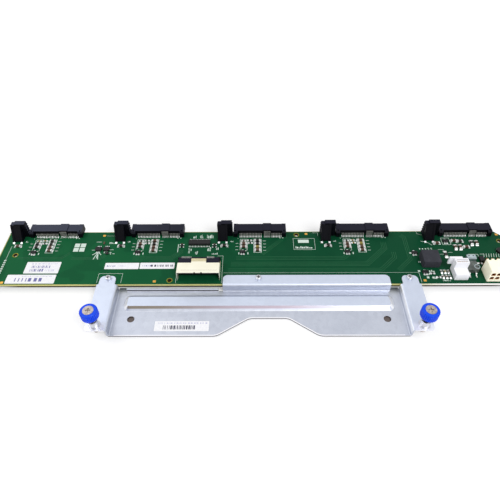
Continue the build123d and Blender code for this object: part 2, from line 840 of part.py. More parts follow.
# Chips with gull-wing leads
for name, chips in gull_chips.items():
    with BuildPart() as chip_bodies:
        for x, y, length, depth, height in chips:
            with BuildSketch(Plane.XY.offset(board_top + lead_thick)):
                with Locations((x, on_board(y))):
                    Rectangle(length, depth)
            extrude(amount=height - lead_thick, taper=chip_taper)
    write(chip_bodies, name)
    with BuildPart() as chip_leads:
        for x, y, length, depth, height in chips:
            leads = int(length / lead_pitch)
            with BuildSketch(Plane.XY.offset(board_top)):
                with Locations((x, on_board(y))):
                    with GridLocations(lead_pitch, depth + lead_reach, leads, 2):
                        Rectangle(lead_width, lead_reach)
            extrude(amount=lead_thick)
    write(chip_leads, f"{name[:-1] if name.endswith('s') else name}_leads")

# Small chips: the spots of a drive repeat at the first four drives
first_four = drive_x[:-1]
flat_capacitors = [(x + dx, y) for x in first_four for dx, y in drive_capacitors] + end_capacitors
flat_resistors = [(x + dx, y) for x in first_four for dx, y in drive_resistors] + end_resistors
flat_transistors = [(x + dx, y) for x in first_four for dx, y in drive_transistors] + end_transistors
with BuildPart() as chip_capacitors:
    with BuildSketch(Plane.XY.offset(board_top)):
        with Locations(*[(x, on_board(y)) for x, y in flat_capacitors]):
            Rectangle(chip_size[0], chip_size[1])
        with Locations(*[(x, on_board(y)) for x, y in end_upright]):
            Rectangle(chip_size[1], chip_size[0])
    extrude(amount=chip_size[2])
    with BuildSketch(Plane.XY.offset(board_top)):
        with Locations(*[(x, on_board(y)) for x, y in end_small]):
            Rectangle(small_size[1], small_size[0])
    extrude(amount=small_size[2])
write(chip_capacitors, "chip_capacitors")

with BuildPart() as chip_resistors:
    with BuildSketch(Plane.XY.offset(board_top)):
        with Locations(*[(x, on_board(y)) for x, y in flat_resistors]):
            Rectangle(small_size[0], small_size[1])
    extrude(amount=resistor_height)
    with BuildSketch(Plane.XY.offset(board_top)):
        with Locations((end_shunt[0], on_board(end_shunt[1]))):
            Rectangle(shunt_size[0], shunt_size[1])
    extrude(amount=shunt_size[2])
write(chip_resistors, "chip_resistors")

with BuildPart() as transistors:
    with BuildSketch(Plane.XY.offset(board_top)):
        with Locations(*[(x, on_board(y)) for x, y in flat_transistors]):
            Rectangle(transistor_size[0], transistor_size[1])
    extrude(amount=transistor_size[2])
    with BuildSketch(Plane.XY.offset(board_top)):
        with Locations((end_diode[0], on_board(end_diode[1]))):
            Rectangle(diode_size[0], diode_size[1])
    extrude(amount=diode_size[2])
    with BuildSketch(Plane.XY.offset(board_top)):
        with Locations((end_can[0], on_board(end_can[1]))):
            Circle(can_radius)
    extrude(amount=can_height)
write(transistors, "transistors")

with BuildPart() as load_switches:
    with BuildSketch(Plane.XY.offset(board_top)):
        with Locations((switch_x, on_board(switch_front + switch_size[1] / 2))):
            Rectangle(switch_size[0], switch_size[1])
    extrude(amount=switch_size[2])
    chamfer(load_switches.faces().sort_by(Axis.Z)[-1].edges(), switch_edge)
write(load_switches, "load_switches")

with BuildPart() as load_switch_leads:
    with BuildSketch(Plane.XY.offset(board_top)):
        with Locations((switch_x, on_board(switch_front + switch_size[1] + switch_tab[1] / 2))):
            Rectangle(switch_tab[0], switch_tab[1])
    extrude(amount=switch_tab[2])
    for side in (-1, 1):
        lead_x = switch_x + side * switch_lead_spacing / 2
        lead_foot = board_top + switch_lead_thick / 2
        with BuildSketch(Plane.YZ.offset(lead_x - switch_lead_width / 2)):
            with BuildLine():
                FilletPolyline(
                    (on_board(switch_front), board_top + switch_lead_rise),
                    (on_board(switch_front - switch_lead_knee), board_top + switch_lead_rise),
                    (on_board(switch_front - switch_lead_toe), lead_foot),
                    (on_board(switch_front - switch_lead_reach), lead_foot),
                    radius=switch_lead_thick,
                )
            trace(line_width=switch_lead_thick)
        extrude(amount=switch_lead_width)
write(load_switch_leads, "load_switch_leads")

with BuildPart() as filter_coil:
    with BuildSketch(Plane.XY.offset(board_top)):
        with Locations((coil_x, on_board(coil_y))):
            RectangleRounded(coil_size[0], coil_size[1], coil_rounding)
    extrude(amount=coil_size[2])
write(filter_coil, "filter_coil")

# Captive thumbscrews
shelf_top = flange_top + shelf_height
knob_bottom = flange_top + knob_lift
knob_top = knob_bottom + knob_height
knob_ceiling = knob_bottom + knob_bore_depth
thread_top = board_top - thread_gap
for side, x in (("left", -thumb_x), ("right", thumb_x)):
    axis_point = (x, thumb_y)
    with BuildPart() as retainer:
        with BuildSketch(Plane.XZ.offset(-thumb_y)):
            with BuildLine():
                Polyline(
                    (x + shank_hole, board_top),
                    (x + shank_fit, board_top),
                    (x + shank_fit, flange_top),
                    (x + seat_radius, flange_top),
                    (x + seat_radius, flange_top + seat_height),
                    (x + barrel_radius, flange_top + seat_height),
                    (x + barrel_radius, flange_top + barrel_height),
                    (x + barrel_bore, flange_top + barrel_height),
                    (x + barrel_bore, shelf_top),
                    (x + shank_hole, shelf_top),
                    close=True,
                )
            make_face()
        revolve(axis=Axis((x, thumb_y, 0), (0, 0, 1)))
    write(retainer, f"{side}_retainer")

    with BuildPart() as knob:
        with BuildSketch(Plane.XY.offset(knob_bottom)):
            with Locations(axis_point):
                Circle(knob_radius)
        extrude(amount=knob_height)
        chamfer(knob.faces().filter_by(Axis.Z).edges(), knob_chamfer)
        with BuildSketch(Plane.XY.offset(knob_bottom)):
            with Locations(axis_point):
                with PolarLocations(knob_radius, knob_grooves):
                    Rectangle(2 * knob_groove, 2 * knob_groove, rotation=45)
        extrude(amount=knob_height, mode=Mode.SUBTRACT)
        with BuildSketch(Plane.XY.offset(knob_bottom)):
            with Locations(axis_point):
                Circle(knob_bore)
        extrude(amount=knob_bore_depth, mode=Mode.SUBTRACT)
        with BuildSketch(Plane.XY.offset(knob_bottom)):
            with Locations(axis_point):
                Circle(stem_radius)
        extrude(amount=knob_height, mode=Mode.SUBTRACT)
        with BuildSketch(Plane.XY.offset(knob_top)):
            with Locations(axis_point):
                Circle(cap_radius)
        extrude(amount=-cap_seat, mode=Mode.SUBTRACT)
    write(knob, f"{side}_knob")

    with BuildPart() as captive_screw:
        with BuildSketch(Plane.XZ.offset(-thumb_y)):
            with BuildLine():
                Polyline(
                    (x, thread_top - thread_length),
                    (x + thread_radius - thread_tip, thread_top - thread_length),
                    (x + thread_radius, thread_top - thread_length + thread_tip),
                    (x + thread_radius, thread_top),
                    (x + shank_radius, thread_top),
                    (x + shank_radius, knob_ceiling),
                    (x + stem_radius, knob_ceiling),
                    (x + stem_radius, knob_top - cap_seat),
                    (x + cap_radius, knob_top - cap_seat),
                    (x + cap_radius, knob_top + cap_proud),
                    (x, knob_top + cap_proud),
                    close=True,
                )
            make_face()
        revolve(axis=Axis((x, thumb_y, 0), (0, 0, 1)))
        with BuildSketch(Plane.XY.offset(knob_top + cap_proud)):
            with Locations(axis_point):
                Rectangle(cap_recess, recess_width)
                Rectangle(recess_width, cap_recess)
        extrude(amount=-recess_depth, mode=Mode.SUBTRACT)
    write(captive_screw, f"{side}_captive_screw")

    with BuildPart() as spring:
        height = knob_ceiling - shelf_top - wire
        with BuildLine() as coil:
            Helix(height / spring_turns, height, spring_radius, center=(x, thumb_y, shelf_top + wire / 2))
        with BuildSketch(Plane(origin=coil.line @ 0, z_dir=coil.line % 0)):
            Rectangle(wire, wire)
        sweep(is_frenet=True)
    write(spring, f"{side}_spring")
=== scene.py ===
"""Looks for the drive backplane board and its folded bracket, built around the CAD model."""

import json
import math
import random

import bmesh
import bpy
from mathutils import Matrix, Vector


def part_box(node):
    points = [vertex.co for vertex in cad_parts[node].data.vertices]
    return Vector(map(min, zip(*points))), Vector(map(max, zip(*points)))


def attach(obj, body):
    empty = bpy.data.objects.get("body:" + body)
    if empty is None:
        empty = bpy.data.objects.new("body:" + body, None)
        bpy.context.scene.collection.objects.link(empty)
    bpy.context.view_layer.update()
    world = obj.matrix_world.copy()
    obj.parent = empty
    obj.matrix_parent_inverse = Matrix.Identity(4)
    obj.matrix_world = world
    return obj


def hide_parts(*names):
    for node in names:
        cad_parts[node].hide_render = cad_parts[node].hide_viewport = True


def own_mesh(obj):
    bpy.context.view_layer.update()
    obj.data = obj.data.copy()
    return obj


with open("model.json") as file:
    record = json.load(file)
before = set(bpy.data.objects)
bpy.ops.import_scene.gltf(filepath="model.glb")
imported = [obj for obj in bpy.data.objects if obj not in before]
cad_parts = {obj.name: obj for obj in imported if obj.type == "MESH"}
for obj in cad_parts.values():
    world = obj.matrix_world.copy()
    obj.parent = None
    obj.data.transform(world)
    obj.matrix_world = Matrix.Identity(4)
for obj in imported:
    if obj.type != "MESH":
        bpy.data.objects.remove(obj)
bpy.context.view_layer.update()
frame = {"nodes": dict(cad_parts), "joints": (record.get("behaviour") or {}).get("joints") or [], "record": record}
scene = bpy.context.scene

MM = 0.001
WELD = 1e-6
MAIN = "board_and_bracket"
SIDES = ("left", "right")
DRIVES = range(1, 6)


def box_mm(node):
    """The lowest and highest corner of a CAD node, in millimetres."""
    low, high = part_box(node)
    return low / MM, high / MM


board_low, board_high = box_mm("circuit_board")
FRONT = board_low.y
TOP = board_high.z
UNDER = board_low.z
PLATE_FRONT = -14.3
PLATE_TOP = 1.2
drive_x = [sum(corner.x for corner in box_mm(f"drive_connector_{n}")) / 2 for n in DRIVES]


# Camera, set where the photograph was taken from
CAMERA_PLACE = (-3.2, -197.1, 291.5)
CAMERA_TURN = (42.56, 0.50, 0.22)
CAMERA_LENS = 33.77
view = bpy.data.cameras.new("photo_camera")
view.lens = CAMERA_LENS
view.clip_start = 0.005
camera = bpy.data.objects.new("photo_camera", view)
camera.location = Vector(CAMERA_PLACE) * MM
camera.rotation_euler = [math.radians(turn) for turn in CAMERA_TURN]
scene.collection.objects.link(camera)
scene.camera = camera
scene.view_settings.view_transform = "Standard"


# Finishes: every surface gets its colour, gloss and grain from nodes
def shade(red, green, blue):
    """A colour given as it looks on screen, from 0 to 255, as the renderer wants it."""

    def linear(part):
        return part / 255 / 12.92 if part <= 10 else ((part / 255 + 0.055) / 1.055) ** 2.4

    return (linear(red), linear(green), linear(blue), 1.0)


class Wire:
    """A value that runs between two nodes, and can be used in sums with others and with numbers."""

    def __init__(self, nodes, socket):
        self.nodes = nodes
        self.socket = socket

    def combined(self, operation, *terms):
        return self.nodes.node("ShaderNodeMath", {"operation": operation}, dict(enumerate(terms)))

    def __add__(self, other):
        return self.combined("ADD", self, other)

    def __radd__(self, other):
        return self.combined("ADD", other, self)

    def __sub__(self, other):
        return self.combined("SUBTRACT", self, other)

    def __rsub__(self, other):
        return self.combined("SUBTRACT", other, self)

    def __mul__(self, other):
        return self.combined("MULTIPLY", self, other)

    def __rmul__(self, other):
        return self.combined("MULTIPLY", other, self)

    def __gt__(self, other):
        return self.combined("GREATER_THAN", self, other)

    def __lt__(self, other):
        return self.combined("LESS_THAN", self, other)

    def __abs__(self):
        return self.combined("ABSOLUTE", self)

    def wave(self):
        return self.combined("SINE", self)

    def within(self, low, high):
        """1 between low and high, and 0 elsewhere."""
        return (self > low) * (self < high)

    def sharpened(self, low, high):
        """0 below low, 1 above high and a soft step between them."""
        settings = {"interpolation_type": "SMOOTHSTEP"}
        inputs = {"Value": self, "From Min": low, "From Max": high}
        return self.nodes.node("ShaderNodeMapRange", settings, inputs)


class Nodes:
    """The nodes of one material, or of the world."""

    def __init__(self, tree):
        self.tree = tree

    def node(self, kind, settings=None, inputs=None, output=0):
        """Add a node, set it up, and give back one of its outputs."""
        made = self.tree.nodes.new(kind)
        for name, value in (settings or {}).items():
            setattr(made, name, value)
        for name, value in (inputs or {}).items():
            self.feed(made.inputs[name], value)
        return Wire(self, made.outputs[output])

    def feed(self, socket, value):
        if isinstance(value, Wire):
            self.tree.links.new(value.socket, socket)
        else:
            socket.default_value = value

    def background_seen(self):
        """1 where a ray shows the background: seen by the camera, in a gloss or through glass."""
        camera_ray, glossy_ray, clear_ray = (
            self.node("ShaderNodeLightPath", output=f"Is {kind} Ray") for kind in ("Camera", "Glossy", "Transmission")
        )
        return camera_ray + glossy_ray + clear_ray


class Finish(Nodes):
    """One surface finish: a Principled shader whose varying inputs are fed by nodes."""

    def __init__(self, name, **constants):
        self.material = bpy.data.materials.new(name)
        self.material.use_nodes = True
        super().__init__(self.material.node_tree)
        self.shader = self.tree.nodes["Principled BSDF"]
        for socket, value in constants.items():
            self.shader.inputs[socket.replace("_", " ")].default_value = value
        metres = self.node("ShaderNodeTexCoord", output="Object")
        self.place = self.node("ShaderNodeVectorMath", {"operation": "SCALE"}, {0: metres, "Scale": 1 / MM})

    def axes(self, vector):
        return [self.node("ShaderNodeSeparateXYZ", None, {0: vector}, output=i) for i in range(3)]

    def facing(self):
        """How far the surface faces right, back and up, each from -1 to 1."""
        return self.axes(self.node("ShaderNodeTexCoord", output="Normal"))

    def stretched(self, x, y, z):
        """The places on the surface, drawn out along an axis where its number is small."""
        return self.node("ShaderNodeVectorMath", {"operation": "MULTIPLY"}, {0: self.place, 1: (x, y, z)})

    def noise(self, size, detail=3.0, place=None):
        """Soft clouds from 0 to 1 whose lumps are size millimetres across."""
        inputs = {"Vector": place or self.place, "Scale": 1 / size, "Detail": detail}
        return self.node("ShaderNodeTexNoise", None, inputs)

    def cells(self, size, place=None):
        """A flat random value from 0 to 1 in each of many cells."""
        inputs = {"Vector": place or self.place, "Scale": 1 / size}
        colour = self.node("ShaderNodeTexVoronoi", None, inputs, output="Color")
        return self.node("ShaderNodeSeparateColor", None, {0: colour})

    def mixed(self, factor, first, second):
        """A colour between two others."""
        inputs = {0: factor, 6: first, 7: second}
        return self.node("ShaderNodeMix", {"data_type": "RGBA"}, inputs, output=2)

    def layered(self, base, *coats):
        """A base colour with others laid over it in turn, each as strongly as its mask says."""
        for mask, coat in coats:
            base = self.mixed(mask, base, coat)
        return base

    def colour(self, value):
        self.feed(self.shader.inputs["Base Color"], value)
        return self

    def rough(self, value):
        self.feed(self.shader.inputs["Roughness"], value)
        return self

    def relief(self, height, depth, strength=1.0):
        """Bump the surface by height, which runs from 0 to 1, times depth in millimetres."""
        inputs = {"Strength": strength, "Distance": depth * MM, "Height": height}
        self.feed(self.shader.inputs["Normal"], self.node("ShaderNodeBump", None, inputs))
        return self


def board_finish():
    """Green solder resist on both faces, and the layered yellow laminate on the cut edges."""
    weave_waves, ply_waves = 5.2, 8.5
    shaded_edge = (UNDER + 0.35, UNDER + 0.6)
    made = Finish("board_resist", Specular_IOR_Level=0.06)
    across, along, height = made.axes(made.place)
    edge = 1 - abs(made.facing()[2]).sharpened(0.4, 0.6)
    weave = (across * weave_waves).wave() * (along * weave_waves).wave() * 0.5 + 0.5
    plies = ((height * ply_waves).wave() * 0.5 + 0.5).sharpened(0.2, 0.9)
    resist = made.layered(
        made.mixed(made.noise(38), shade(16, 86, 50), shade(24, 98, 58)),
        # painted shade: the resist is darker towards the right of the board
        (across.sharpened(-190, 60) * 0.85, shade(9, 66, 42)),
        (made.noise(17, 1.0).sharpened(0.47, 0.53) * 0.3, shade(8, 64, 40)),
    )
    laminate = made.layered(
        shade(232, 228, 156),
        (plies * 0.6, shade(176, 168, 96)),
        (made.noise(1.2) * 0.5, shade(206, 200, 128)),
        # painted highlight: the laminate edge turns near white towards the right end
        (across.sharpened(110, 150), shade(255, 254, 250)),
        # painted shadow: a dark band along the bottom of the laminate edge
        (1 - height.sharpened(*shaded_edge), shade(74, 62, 54)),
    )
    made.colour(made.mixed(edge, resist, laminate))
    made.rough(0.34 + 0.12 * made.noise(6) + edge * 0.35)
    return made.relief(weave * (1 - edge) + made.noise(0.5) * edge, 0.012, 0.5)


def sheet_finish():
    """Zinc on cold-rolled steel: pale blue-grey, with a faint spangle and rolling lines, and with light and shade
    painted on its panel, edges, lip, right wall and flange tips.
    """
    plate_skin, panel_skin, panel_crest = PLATE_TOP + 0.1, 3.9, 2.6
    slope_y, panel_y, panel_x = (3, 12), (5.65, 23.65), (-105, 105)
    lip_x, lip_y = (-103, -30), 20
    wall_x, flange_x = 100, 110.5
    made = Finish("zinc_sheet", Metallic=0.88)
    across, along, height = made.axes(made.place)
    rightward, backward, upward = made.facing()
    spangle = made.cells(2.6, made.stretched(1, 0.8, 1))
    rolled = made.noise(0.5, 4.0, made.stretched(0.06, 1, 1))
    stain = made.noise(42, 4.0).sharpened(0.35, 0.75)
    grain = made.noise(0.7, 5.0).sharpened(0.3, 0.7)

    # Masks where light and shade are painted on the zinc
    lit_panel_top = height.sharpened(panel_crest, 3.4) * upward.sharpened(0.7, 0.9)
    panel_slope = (backward * -1).sharpened(0.25, 0.45) * height.sharpened(2.2, 2.5) * along.within(*slope_y)
    lit_panel_ends = abs(rightward).sharpened(0.25, 0.45) * height.within(plate_skin, panel_skin)
    lit_panel_ends = lit_panel_ends * along.within(*panel_y) * across.within(*panel_x)
    slope_reflection = made.mixed(across.sharpened(-90, -10), shade(132, 122, 108), shade(168, 155, 166))
    cut_front = (backward * -1).sharpened(0.3, 0.6)
    lip_front = cut_front * across.within(*lip_x) * (along > lip_y)
    lit_right_wall = (rightward * -1).sharpened(0.4, 0.8) * (across > wall_x) * height.sharpened(2.5, 5)
    lit_flange_tips = (abs(across) > flange_x) * (1 - along.sharpened(-13, -5)) * height.sharpened(6, 7)

    zinc_and_painted_light = made.layered(
        made.mixed(spangle, shade(185, 190, 203), shade(196, 201, 213)),
        (stain * 0.5, shade(178, 184, 199)),
        (grain * 0.35, shade(204, 208, 218)),
        # painted light: the raised panel's top faces lighter and bluer than the plate
        (lit_panel_top * 0.5, shade(214, 224, 244)),
        # painted reflection: tan to pinkish on the panel's front slope, fading out towards the right
        (panel_slope * (1 - across.sharpened(10, 90)) * 0.95, slope_reflection),
        # painted highlight: the panel's end slopes white
        (lit_panel_ends, shade(255, 255, 255)),
        # painted highlight on the plate's cut front edge, and painted shade along its lower half
        (cut_front * (height < plate_skin) * 0.8, shade(250, 248, 252)),
        (cut_front * (1 - height.sharpened(0.75, 0.9)), shade(84, 78, 82)),
        # painted highlight along the top of the lip's front face, and painted shade below it
        (lip_front * (height > panel_crest), shade(250, 252, 255)),
        (lip_front * height.within(plate_skin, panel_crest) * 0.8, shade(84, 80, 82)),
        # painted highlight on the right flange's inner wall and on the flange tips
        (lit_right_wall * 0.8, shade(252, 253, 255)),
        (lit_flange_tips * 0.8, shade(248, 248, 254)),
    )
    made.colour(zinc_and_painted_light)
    made.rough(0.36 + spangle * 0.08 + rolled * 0.1)
    return made.relief(rolled * 0.6 + grain * 0.4, 0.02, 0.35)


def moulded(name, low, high, rough, grain=0.35, depth=0.02, **constants):
    """Moulded plastic with a spark-eroded skin and a slow drift in its colour."""
    made = Finish(name, **constants)
    drift = made.noise(5.0, 2.0)
    skin = made.noise(grain, 4.0)
    scuff = made.noise(2.2, 5.0, made.stretched(1, 0.35, 1)).sharpened(0.56, 0.7)
    made.colour(made.mixed(drift * 0.7 + scuff * 0.3, low, high))
    made.rough(rough + 0.12 * skin - 0.06 * drift)
    return made.relief(skin, depth, 0.6)


def plated(name, low, high, rough, size=1.0, metallic=1.0, depth=0.01):
    """Plated metal: patches of tone, a fine brushed grain and uneven gloss."""
    made = Finish(name, Metallic=metallic)
    patch = made.noise(size * 3, 3.0)
    grain = made.noise(size * 0.3, 4.0)
    made.colour(made.mixed(patch, low, high))
    made.rough(rough + 0.16 * grain)
    return made.relief(grain, depth, 0.5)


def printed(name, low, high, size=0.5, rough=0.55):
    """Ink or paper: nearly even, with a fine mottle."""
    made = Finish(name, Specular_IOR_Level=0.3)
    mottle = made.noise(size, 4.0)
    made.colour(made.mixed(mottle.sharpened(0.3, 0.7), low, high))
    made.rough(rough + 0.15 * made.noise(size * 4))
    return made.relief(mottle, 0.01, 0.4)


def connector_finish():
    """Black glass-filled plastic; faces that look up get a painted sheen, pale and bluish, and are painted lighter
    towards the left.
    """
    deep, worn = shade(6, 6, 11), shade(13, 13, 20)
    made = moulded("connector_black", deep, worn, 0.42, Specular_IOR_Level=0.1)
    # painted sheen on faces that look up, with painted light towards the left
    upward = made.facing()[2].sharpened(0.5, 0.95)
    lit_from_left = 1 - made.axes(made.place)[0].sharpened(-190, -40)
    painted_top_sheen = made.layered(
        shade(30, 30, 44),
        (lit_from_left, shade(68, 72, 88)),
        (made.noise(1.6, 4.0) * 0.4, shade(18, 18, 28)),
    )
    return made.colour(made.mixed(upward, made.mixed(made.noise(5.0), deep, worn), painted_top_sheen))


def cage_finish():
    """Pale yellowish plating, with painted shade on the end of the cage's tongue."""
    tongue_end = (FRONT + 14.6, FRONT + 16.4)
    made = plated("cage_shell", shade(238, 233, 212), shade(254, 252, 238), 0.32, 3.0, 0.7)
    # painted shade: the end of the tongue darker and yellower
    shaded_tongue_end = made.axes(made.place)[1].sharpened(*tongue_end)
    plating = made.mixed(made.noise(9.0), shade(236, 231, 208), shade(254, 252, 236))
    tongue_shade = made.mixed(made.noise(1.5), shade(178, 164, 118), shade(226, 216, 178))
    return made.colour(made.mixed(shaded_tongue_end * 0.9, plating, tongue_shade))


# painted light: a faint warm glow in the ivory plastic, which lifts its shaded sides
PAINTED_GLOW = {"Emission_Strength": 0.13, "Emission_Color": shade(255, 246, 206)}
FINE = {"grain": 0.2, "depth": 0.01}

board = board_finish()
zinc = sheet_finish()
black_plastic = connector_finish()
shell = cage_finish()
ivory = moulded("ivory_plastic", shade(252, 248, 224), shade(255, 254, 240), 0.42, **PAINTED_GLOW)
white_plastic = moulded("white_plastic", shade(246, 247, 254), shade(253, 253, 255), 0.4)
blue_plastic = moulded("knob_blue", shade(4, 64, 226), shade(14, 90, 246), 0.33, Specular_IOR_Level=0.25)
ceramic = moulded("ceramic_brown", shade(66, 44, 34), shade(98, 68, 50), 0.45, **FINE)
amber_ceramic = moulded("ceramic_amber", shade(120, 104, 44), shade(168, 150, 72), 0.45, **FINE)
dark_ceramic = moulded("ceramic_dark", shade(20, 17, 16), shade(40, 32, 28), 0.45, **FINE)
mottled = moulded("chip_mottled", shade(20, 26, 24), shade(122, 130, 126), 0.5, 0.6)
dark_chip = moulded("chip_black", shade(13, 13, 15), shade(25, 25, 28), 0.45, 0.25, 0.015, Specular_IOR_Level=0.3)
ferrite = moulded("inductor_grey", shade(46, 47, 54), shade(66, 66, 74), 0.75, 0.5, 0.06, Specular_IOR_Level=0.2)
tin = plated("bright_tin", shade(196, 198, 196), shade(234, 235, 232), 0.28)
solder = plated("solder", shade(222, 224, 226), shade(252, 252, 252), 0.34, 0.6, 0.75)
comb = plated("contact_comb", shade(112, 112, 108), shade(178, 177, 172), 0.4, 0.8, 0.3)
gold = plated("gold_flash", shade(206, 146, 60), shade(236, 186, 96), 0.28)
terminal = plated("terminal_brass", shade(112, 60, 14), shade(168, 98, 30), 0.34, 0.8)
ring_gold = plated("ring_gold", shade(118, 116, 36), shade(160, 152, 60), 0.34)
# painted shade: dark brown for the insides of the tooling holes, the cage's crease and the screw recesses
painted_recess_shade = plated("painted_recess_shade", shade(44, 24, 10), shade(78, 48, 22), 0.5, 0.6, 0.3)
screw_plate = plated("screw_plating", shade(188, 188, 196), shade(222, 224, 230), 0.24)
cap_plate = plated("cap_plating", shade(92, 82, 80), shade(224, 214, 208), 0.32, 0.5)
coil_plate = plated("coil_plate", shade(150, 166, 172), shade(196, 208, 214), 0.4, 1.2, 0.6)
spring_wire = plated("spring_wire", shade(150, 150, 156), shade(196, 198, 204), 0.28)
# painted highlight for the plate's cut front edge
edge_glint_finish = plated("painted_edge_glint", shade(244, 242, 248), shade(255, 255, 255), 0.4, 0.8, 0.5)
silk = printed("silkscreen_white", shade(196, 216, 204), shade(226, 238, 230))
paper = printed("label_paper", shade(240, 241, 246), shade(250, 250, 252), 1.5, 0.4)
bar_ink = printed("bar_ink", shade(92, 92, 152), shade(132, 132, 182), 0.8)
faint_ink = printed("faint_ink", shade(196, 196, 220), shade(218, 218, 236), 0.8)
dark_ink = printed("dark_ink", shade(44, 44, 62), shade(76, 76, 100), 0.8)
covered_copper = printed("covered_copper", shade(12, 82, 48), shade(20, 92, 55), 4.0, 0.3)
laminate_edge = printed("bare_laminate", shade(148, 152, 78), shade(196, 194, 118), 0.6)


# Meshes of small pieces
NO_CORNER = 1e-4
MITRE_LIMIT = 0.3


def rounded(x, y, width, depth, corner=0.0, steps=3):
    """A rectangle with round corners, as a function of how far its outline is drawn in."""
    quarters = ((1, 1), (-1, 1), (-1, -1), (1, -1))

    def outline(inset=0.0):
        reach_x = width / 2 - inset
        reach_y = depth / 2 - inset
        radius = min(max(corner - inset, 0.0), reach_x, reach_y)
        if radius < NO_CORNER:
            return [(x + side_x * reach_x, y + side_y * reach_y) for side_x, side_y in quarters]
        points = []
        for quarter, (side_x, side_y) in enumerate(quarters):
            centre_x = x + side_x * (reach_x - radius)
            centre_y = y + side_y * (reach_y - radius)
            for step in range(steps + 1):
                angle = math.pi / 2 * (quarter + step / steps)
                points.append((centre_x + radius * math.cos(angle), centre_y + radius * math.sin(angle)))
        return points

    return outline


def between(x0, y0, x1, y1, corner=0.0, steps=3):
    """The same outline, given by two of the rectangle's corners."""
    return rounded((x0 + x1) / 2, (y0 + y1) / 2, x1 - x0, y1 - y0, corner, steps)


def edges_of(points, width, closed=False):
    """The left and right edges of a line of that width, mitred where it turns."""
    pairs = []
    count = len(points)
    for i, (x, y) in enumerate(points):
        before = points[i - 1] if closed or i else None
        after = points[(i + 1) % count] if closed or i < count - 1 else None
        ways = []
        for start, end in ((before, (x, y)), ((x, y), after)):
            if start is not None and end is not None:
                ways.append(Vector((end[0] - start[0], end[1] - start[1])).normalized())
        way = sum(ways, Vector((0, 0))).normalized()
        across = Vector((-way.y, way.x))
        reach = width / 2 / max(across.dot(Vector((-ways[0].y, ways[0].x))), MITRE_LIMIT)
        out_x, out_y = across * reach
        pairs.append(((x + out_x, y + out_y), (x - out_x, y - out_y)))
    return pairs


def beside(points, distance):
    """A line that runs beside another at that distance."""
    return [left for left, _ in edges_of(points, 2 * distance)]


def bent(points, radius, steps=5):
    """A line through the points whose corners are rounded off."""
    line = [Vector(points[0])]
    for before, corner, after in zip(points, points[1:], points[2:]):
        corner = Vector(corner)
        back = (Vector(before) - corner).normalized()
        ahead = (Vector(after) - corner).normalized()
        reach = radius / math.tan(back.angle(ahead) / 2)
        for step in range(steps + 1):
            share = step / steps
            line.append(corner + back * reach * (1 - share) ** 2 + ahead * reach * share ** 2)
    return [tuple(point) for point in line + [Vector(points[-1])]]


class Piece:
    """One mesh made of many small shapes, sized in millimetres in the part's frame."""

    def __init__(self, name, *finishes):
        self.name = name
        self.finishes = finishes
        self.work = bmesh.new()

    def skin(self, rings, finish=0, loop=False):
        """Join rings of points, one to the next, and close the two ends."""
        made = [[self.work.verts.new(Vector(point) * MM) for point in ring] for ring in rings]
        pairs = list(zip(made, made[1:]))
        if loop:
            pairs.append((made[-1], made[0]))
        faces = []
        for near, far in pairs:
            for i in range(len(near)):
                j = (i + 1) % len(near)
                faces.append((near[i], near[j], far[j], far[i]))
        if not loop:
            faces += [made[0][::-1], made[-1]]
        for corners in faces:
            self.work.faces.new(corners).material_index = finish

    def slab(self, outline, bottom, top, edge=0.0, finish=0):
        """A flat piece with that outline, whose upper edge is broken by edge millimetres."""
        levels = [(0.0, bottom), (0.0, top - edge)]
        if edge:
            levels.append((edge, top))
        self.skin([[(x, y, z) for x, y in outline(inset)] for inset, z in levels], finish)

    def ribbon(self, points, width, bottom, top, closed=False):
        """A flat strip along a line."""
        rings = [
            [(*right, bottom), (*right, top), (*left, top), (*left, bottom)]
            for left, right in edges_of(points, width, closed)
        ]
        self.skin(rings, loop=closed)

    def collar(self, x, y, inner, outer, bottom, top, steps=28):
        """A flat ring."""
        corners = ((inner, bottom), (outer, bottom), (outer, top), (inner, top))
        turns = [math.tau * i / steps for i in range(steps)]
        rings = [[(x + r * math.cos(t), y + r * math.sin(t), z) for r, z in corners] for t in turns]
        self.skin(rings, loop=True)

    def sleeve(self, x, z, near, far, inner, outer):
        """A square metal sleeve that looks to the front."""
        corners = ((inner, near), (outer, near), (outer, far), (inner, far))
        rings = [
            [(x + side_x * width / 2, y, z + side_z * width / 2) for width, y in corners]
            for side_x, side_z in ((1, 1), (-1, 1), (-1, -1), (1, -1))
        ]
        self.skin(rings, loop=True)

    def heap(self, base, crest, bottom, top):
        """A solder joint that climbs from its base rectangle to its crest along a hollow curve."""
        rings = []
        for share in (0.0, 0.35, 0.7, 1.0):
            x0, y0, x1, y1 = (b + (c - b) * share ** 0.7 for b, c in zip(base, crest))
            z = bottom + (top - bottom) * share ** 1.8
            rings.append([(x1, y1, z), (x0, y1, z), (x0, y0, z), (x1, y0, z)])
        self.skin(rings)

    def tube(self, points, radius, sides=8):
        """A round wire along a line of points, which doesn't double back."""
        line = [Vector(point) for point in points]
        turns = [math.tau * k / sides for k in range(sides)]
        rings = []
        out = None
        for i, point in enumerate(line):
            way = (line[min(i + 1, len(line) - 1)] - line[max(i - 1, 0)]).normalized()
            if out is None:
                out = way.orthogonal().normalized()
            out = (out - way * out.dot(way)).normalized()
            across = way.cross(out)
            rings.append([point + out * (radius * math.cos(t)) + across * (radius * math.sin(t)) for t in turns])
        self.skin(rings)

    def done(self, slot, body=MAIN, sharp=40):
        """Make the object and let it ride on its body; the slot is not used."""
        mesh = bpy.data.meshes.new(self.name)
        bmesh.ops.recalc_face_normals(self.work, faces=self.work.faces)
        self.work.to_mesh(mesh)
        self.work.free()
        for finish in self.finishes:
            mesh.materials.append(finish.material)
        mesh.shade_smooth()
        mesh.set_sharp_from_angle(angle=math.radians(sharp))
        piece = bpy.data.objects.new(self.name, mesh)
        scene.collection.objects.link(piece)
        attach(piece, body)
        return piece


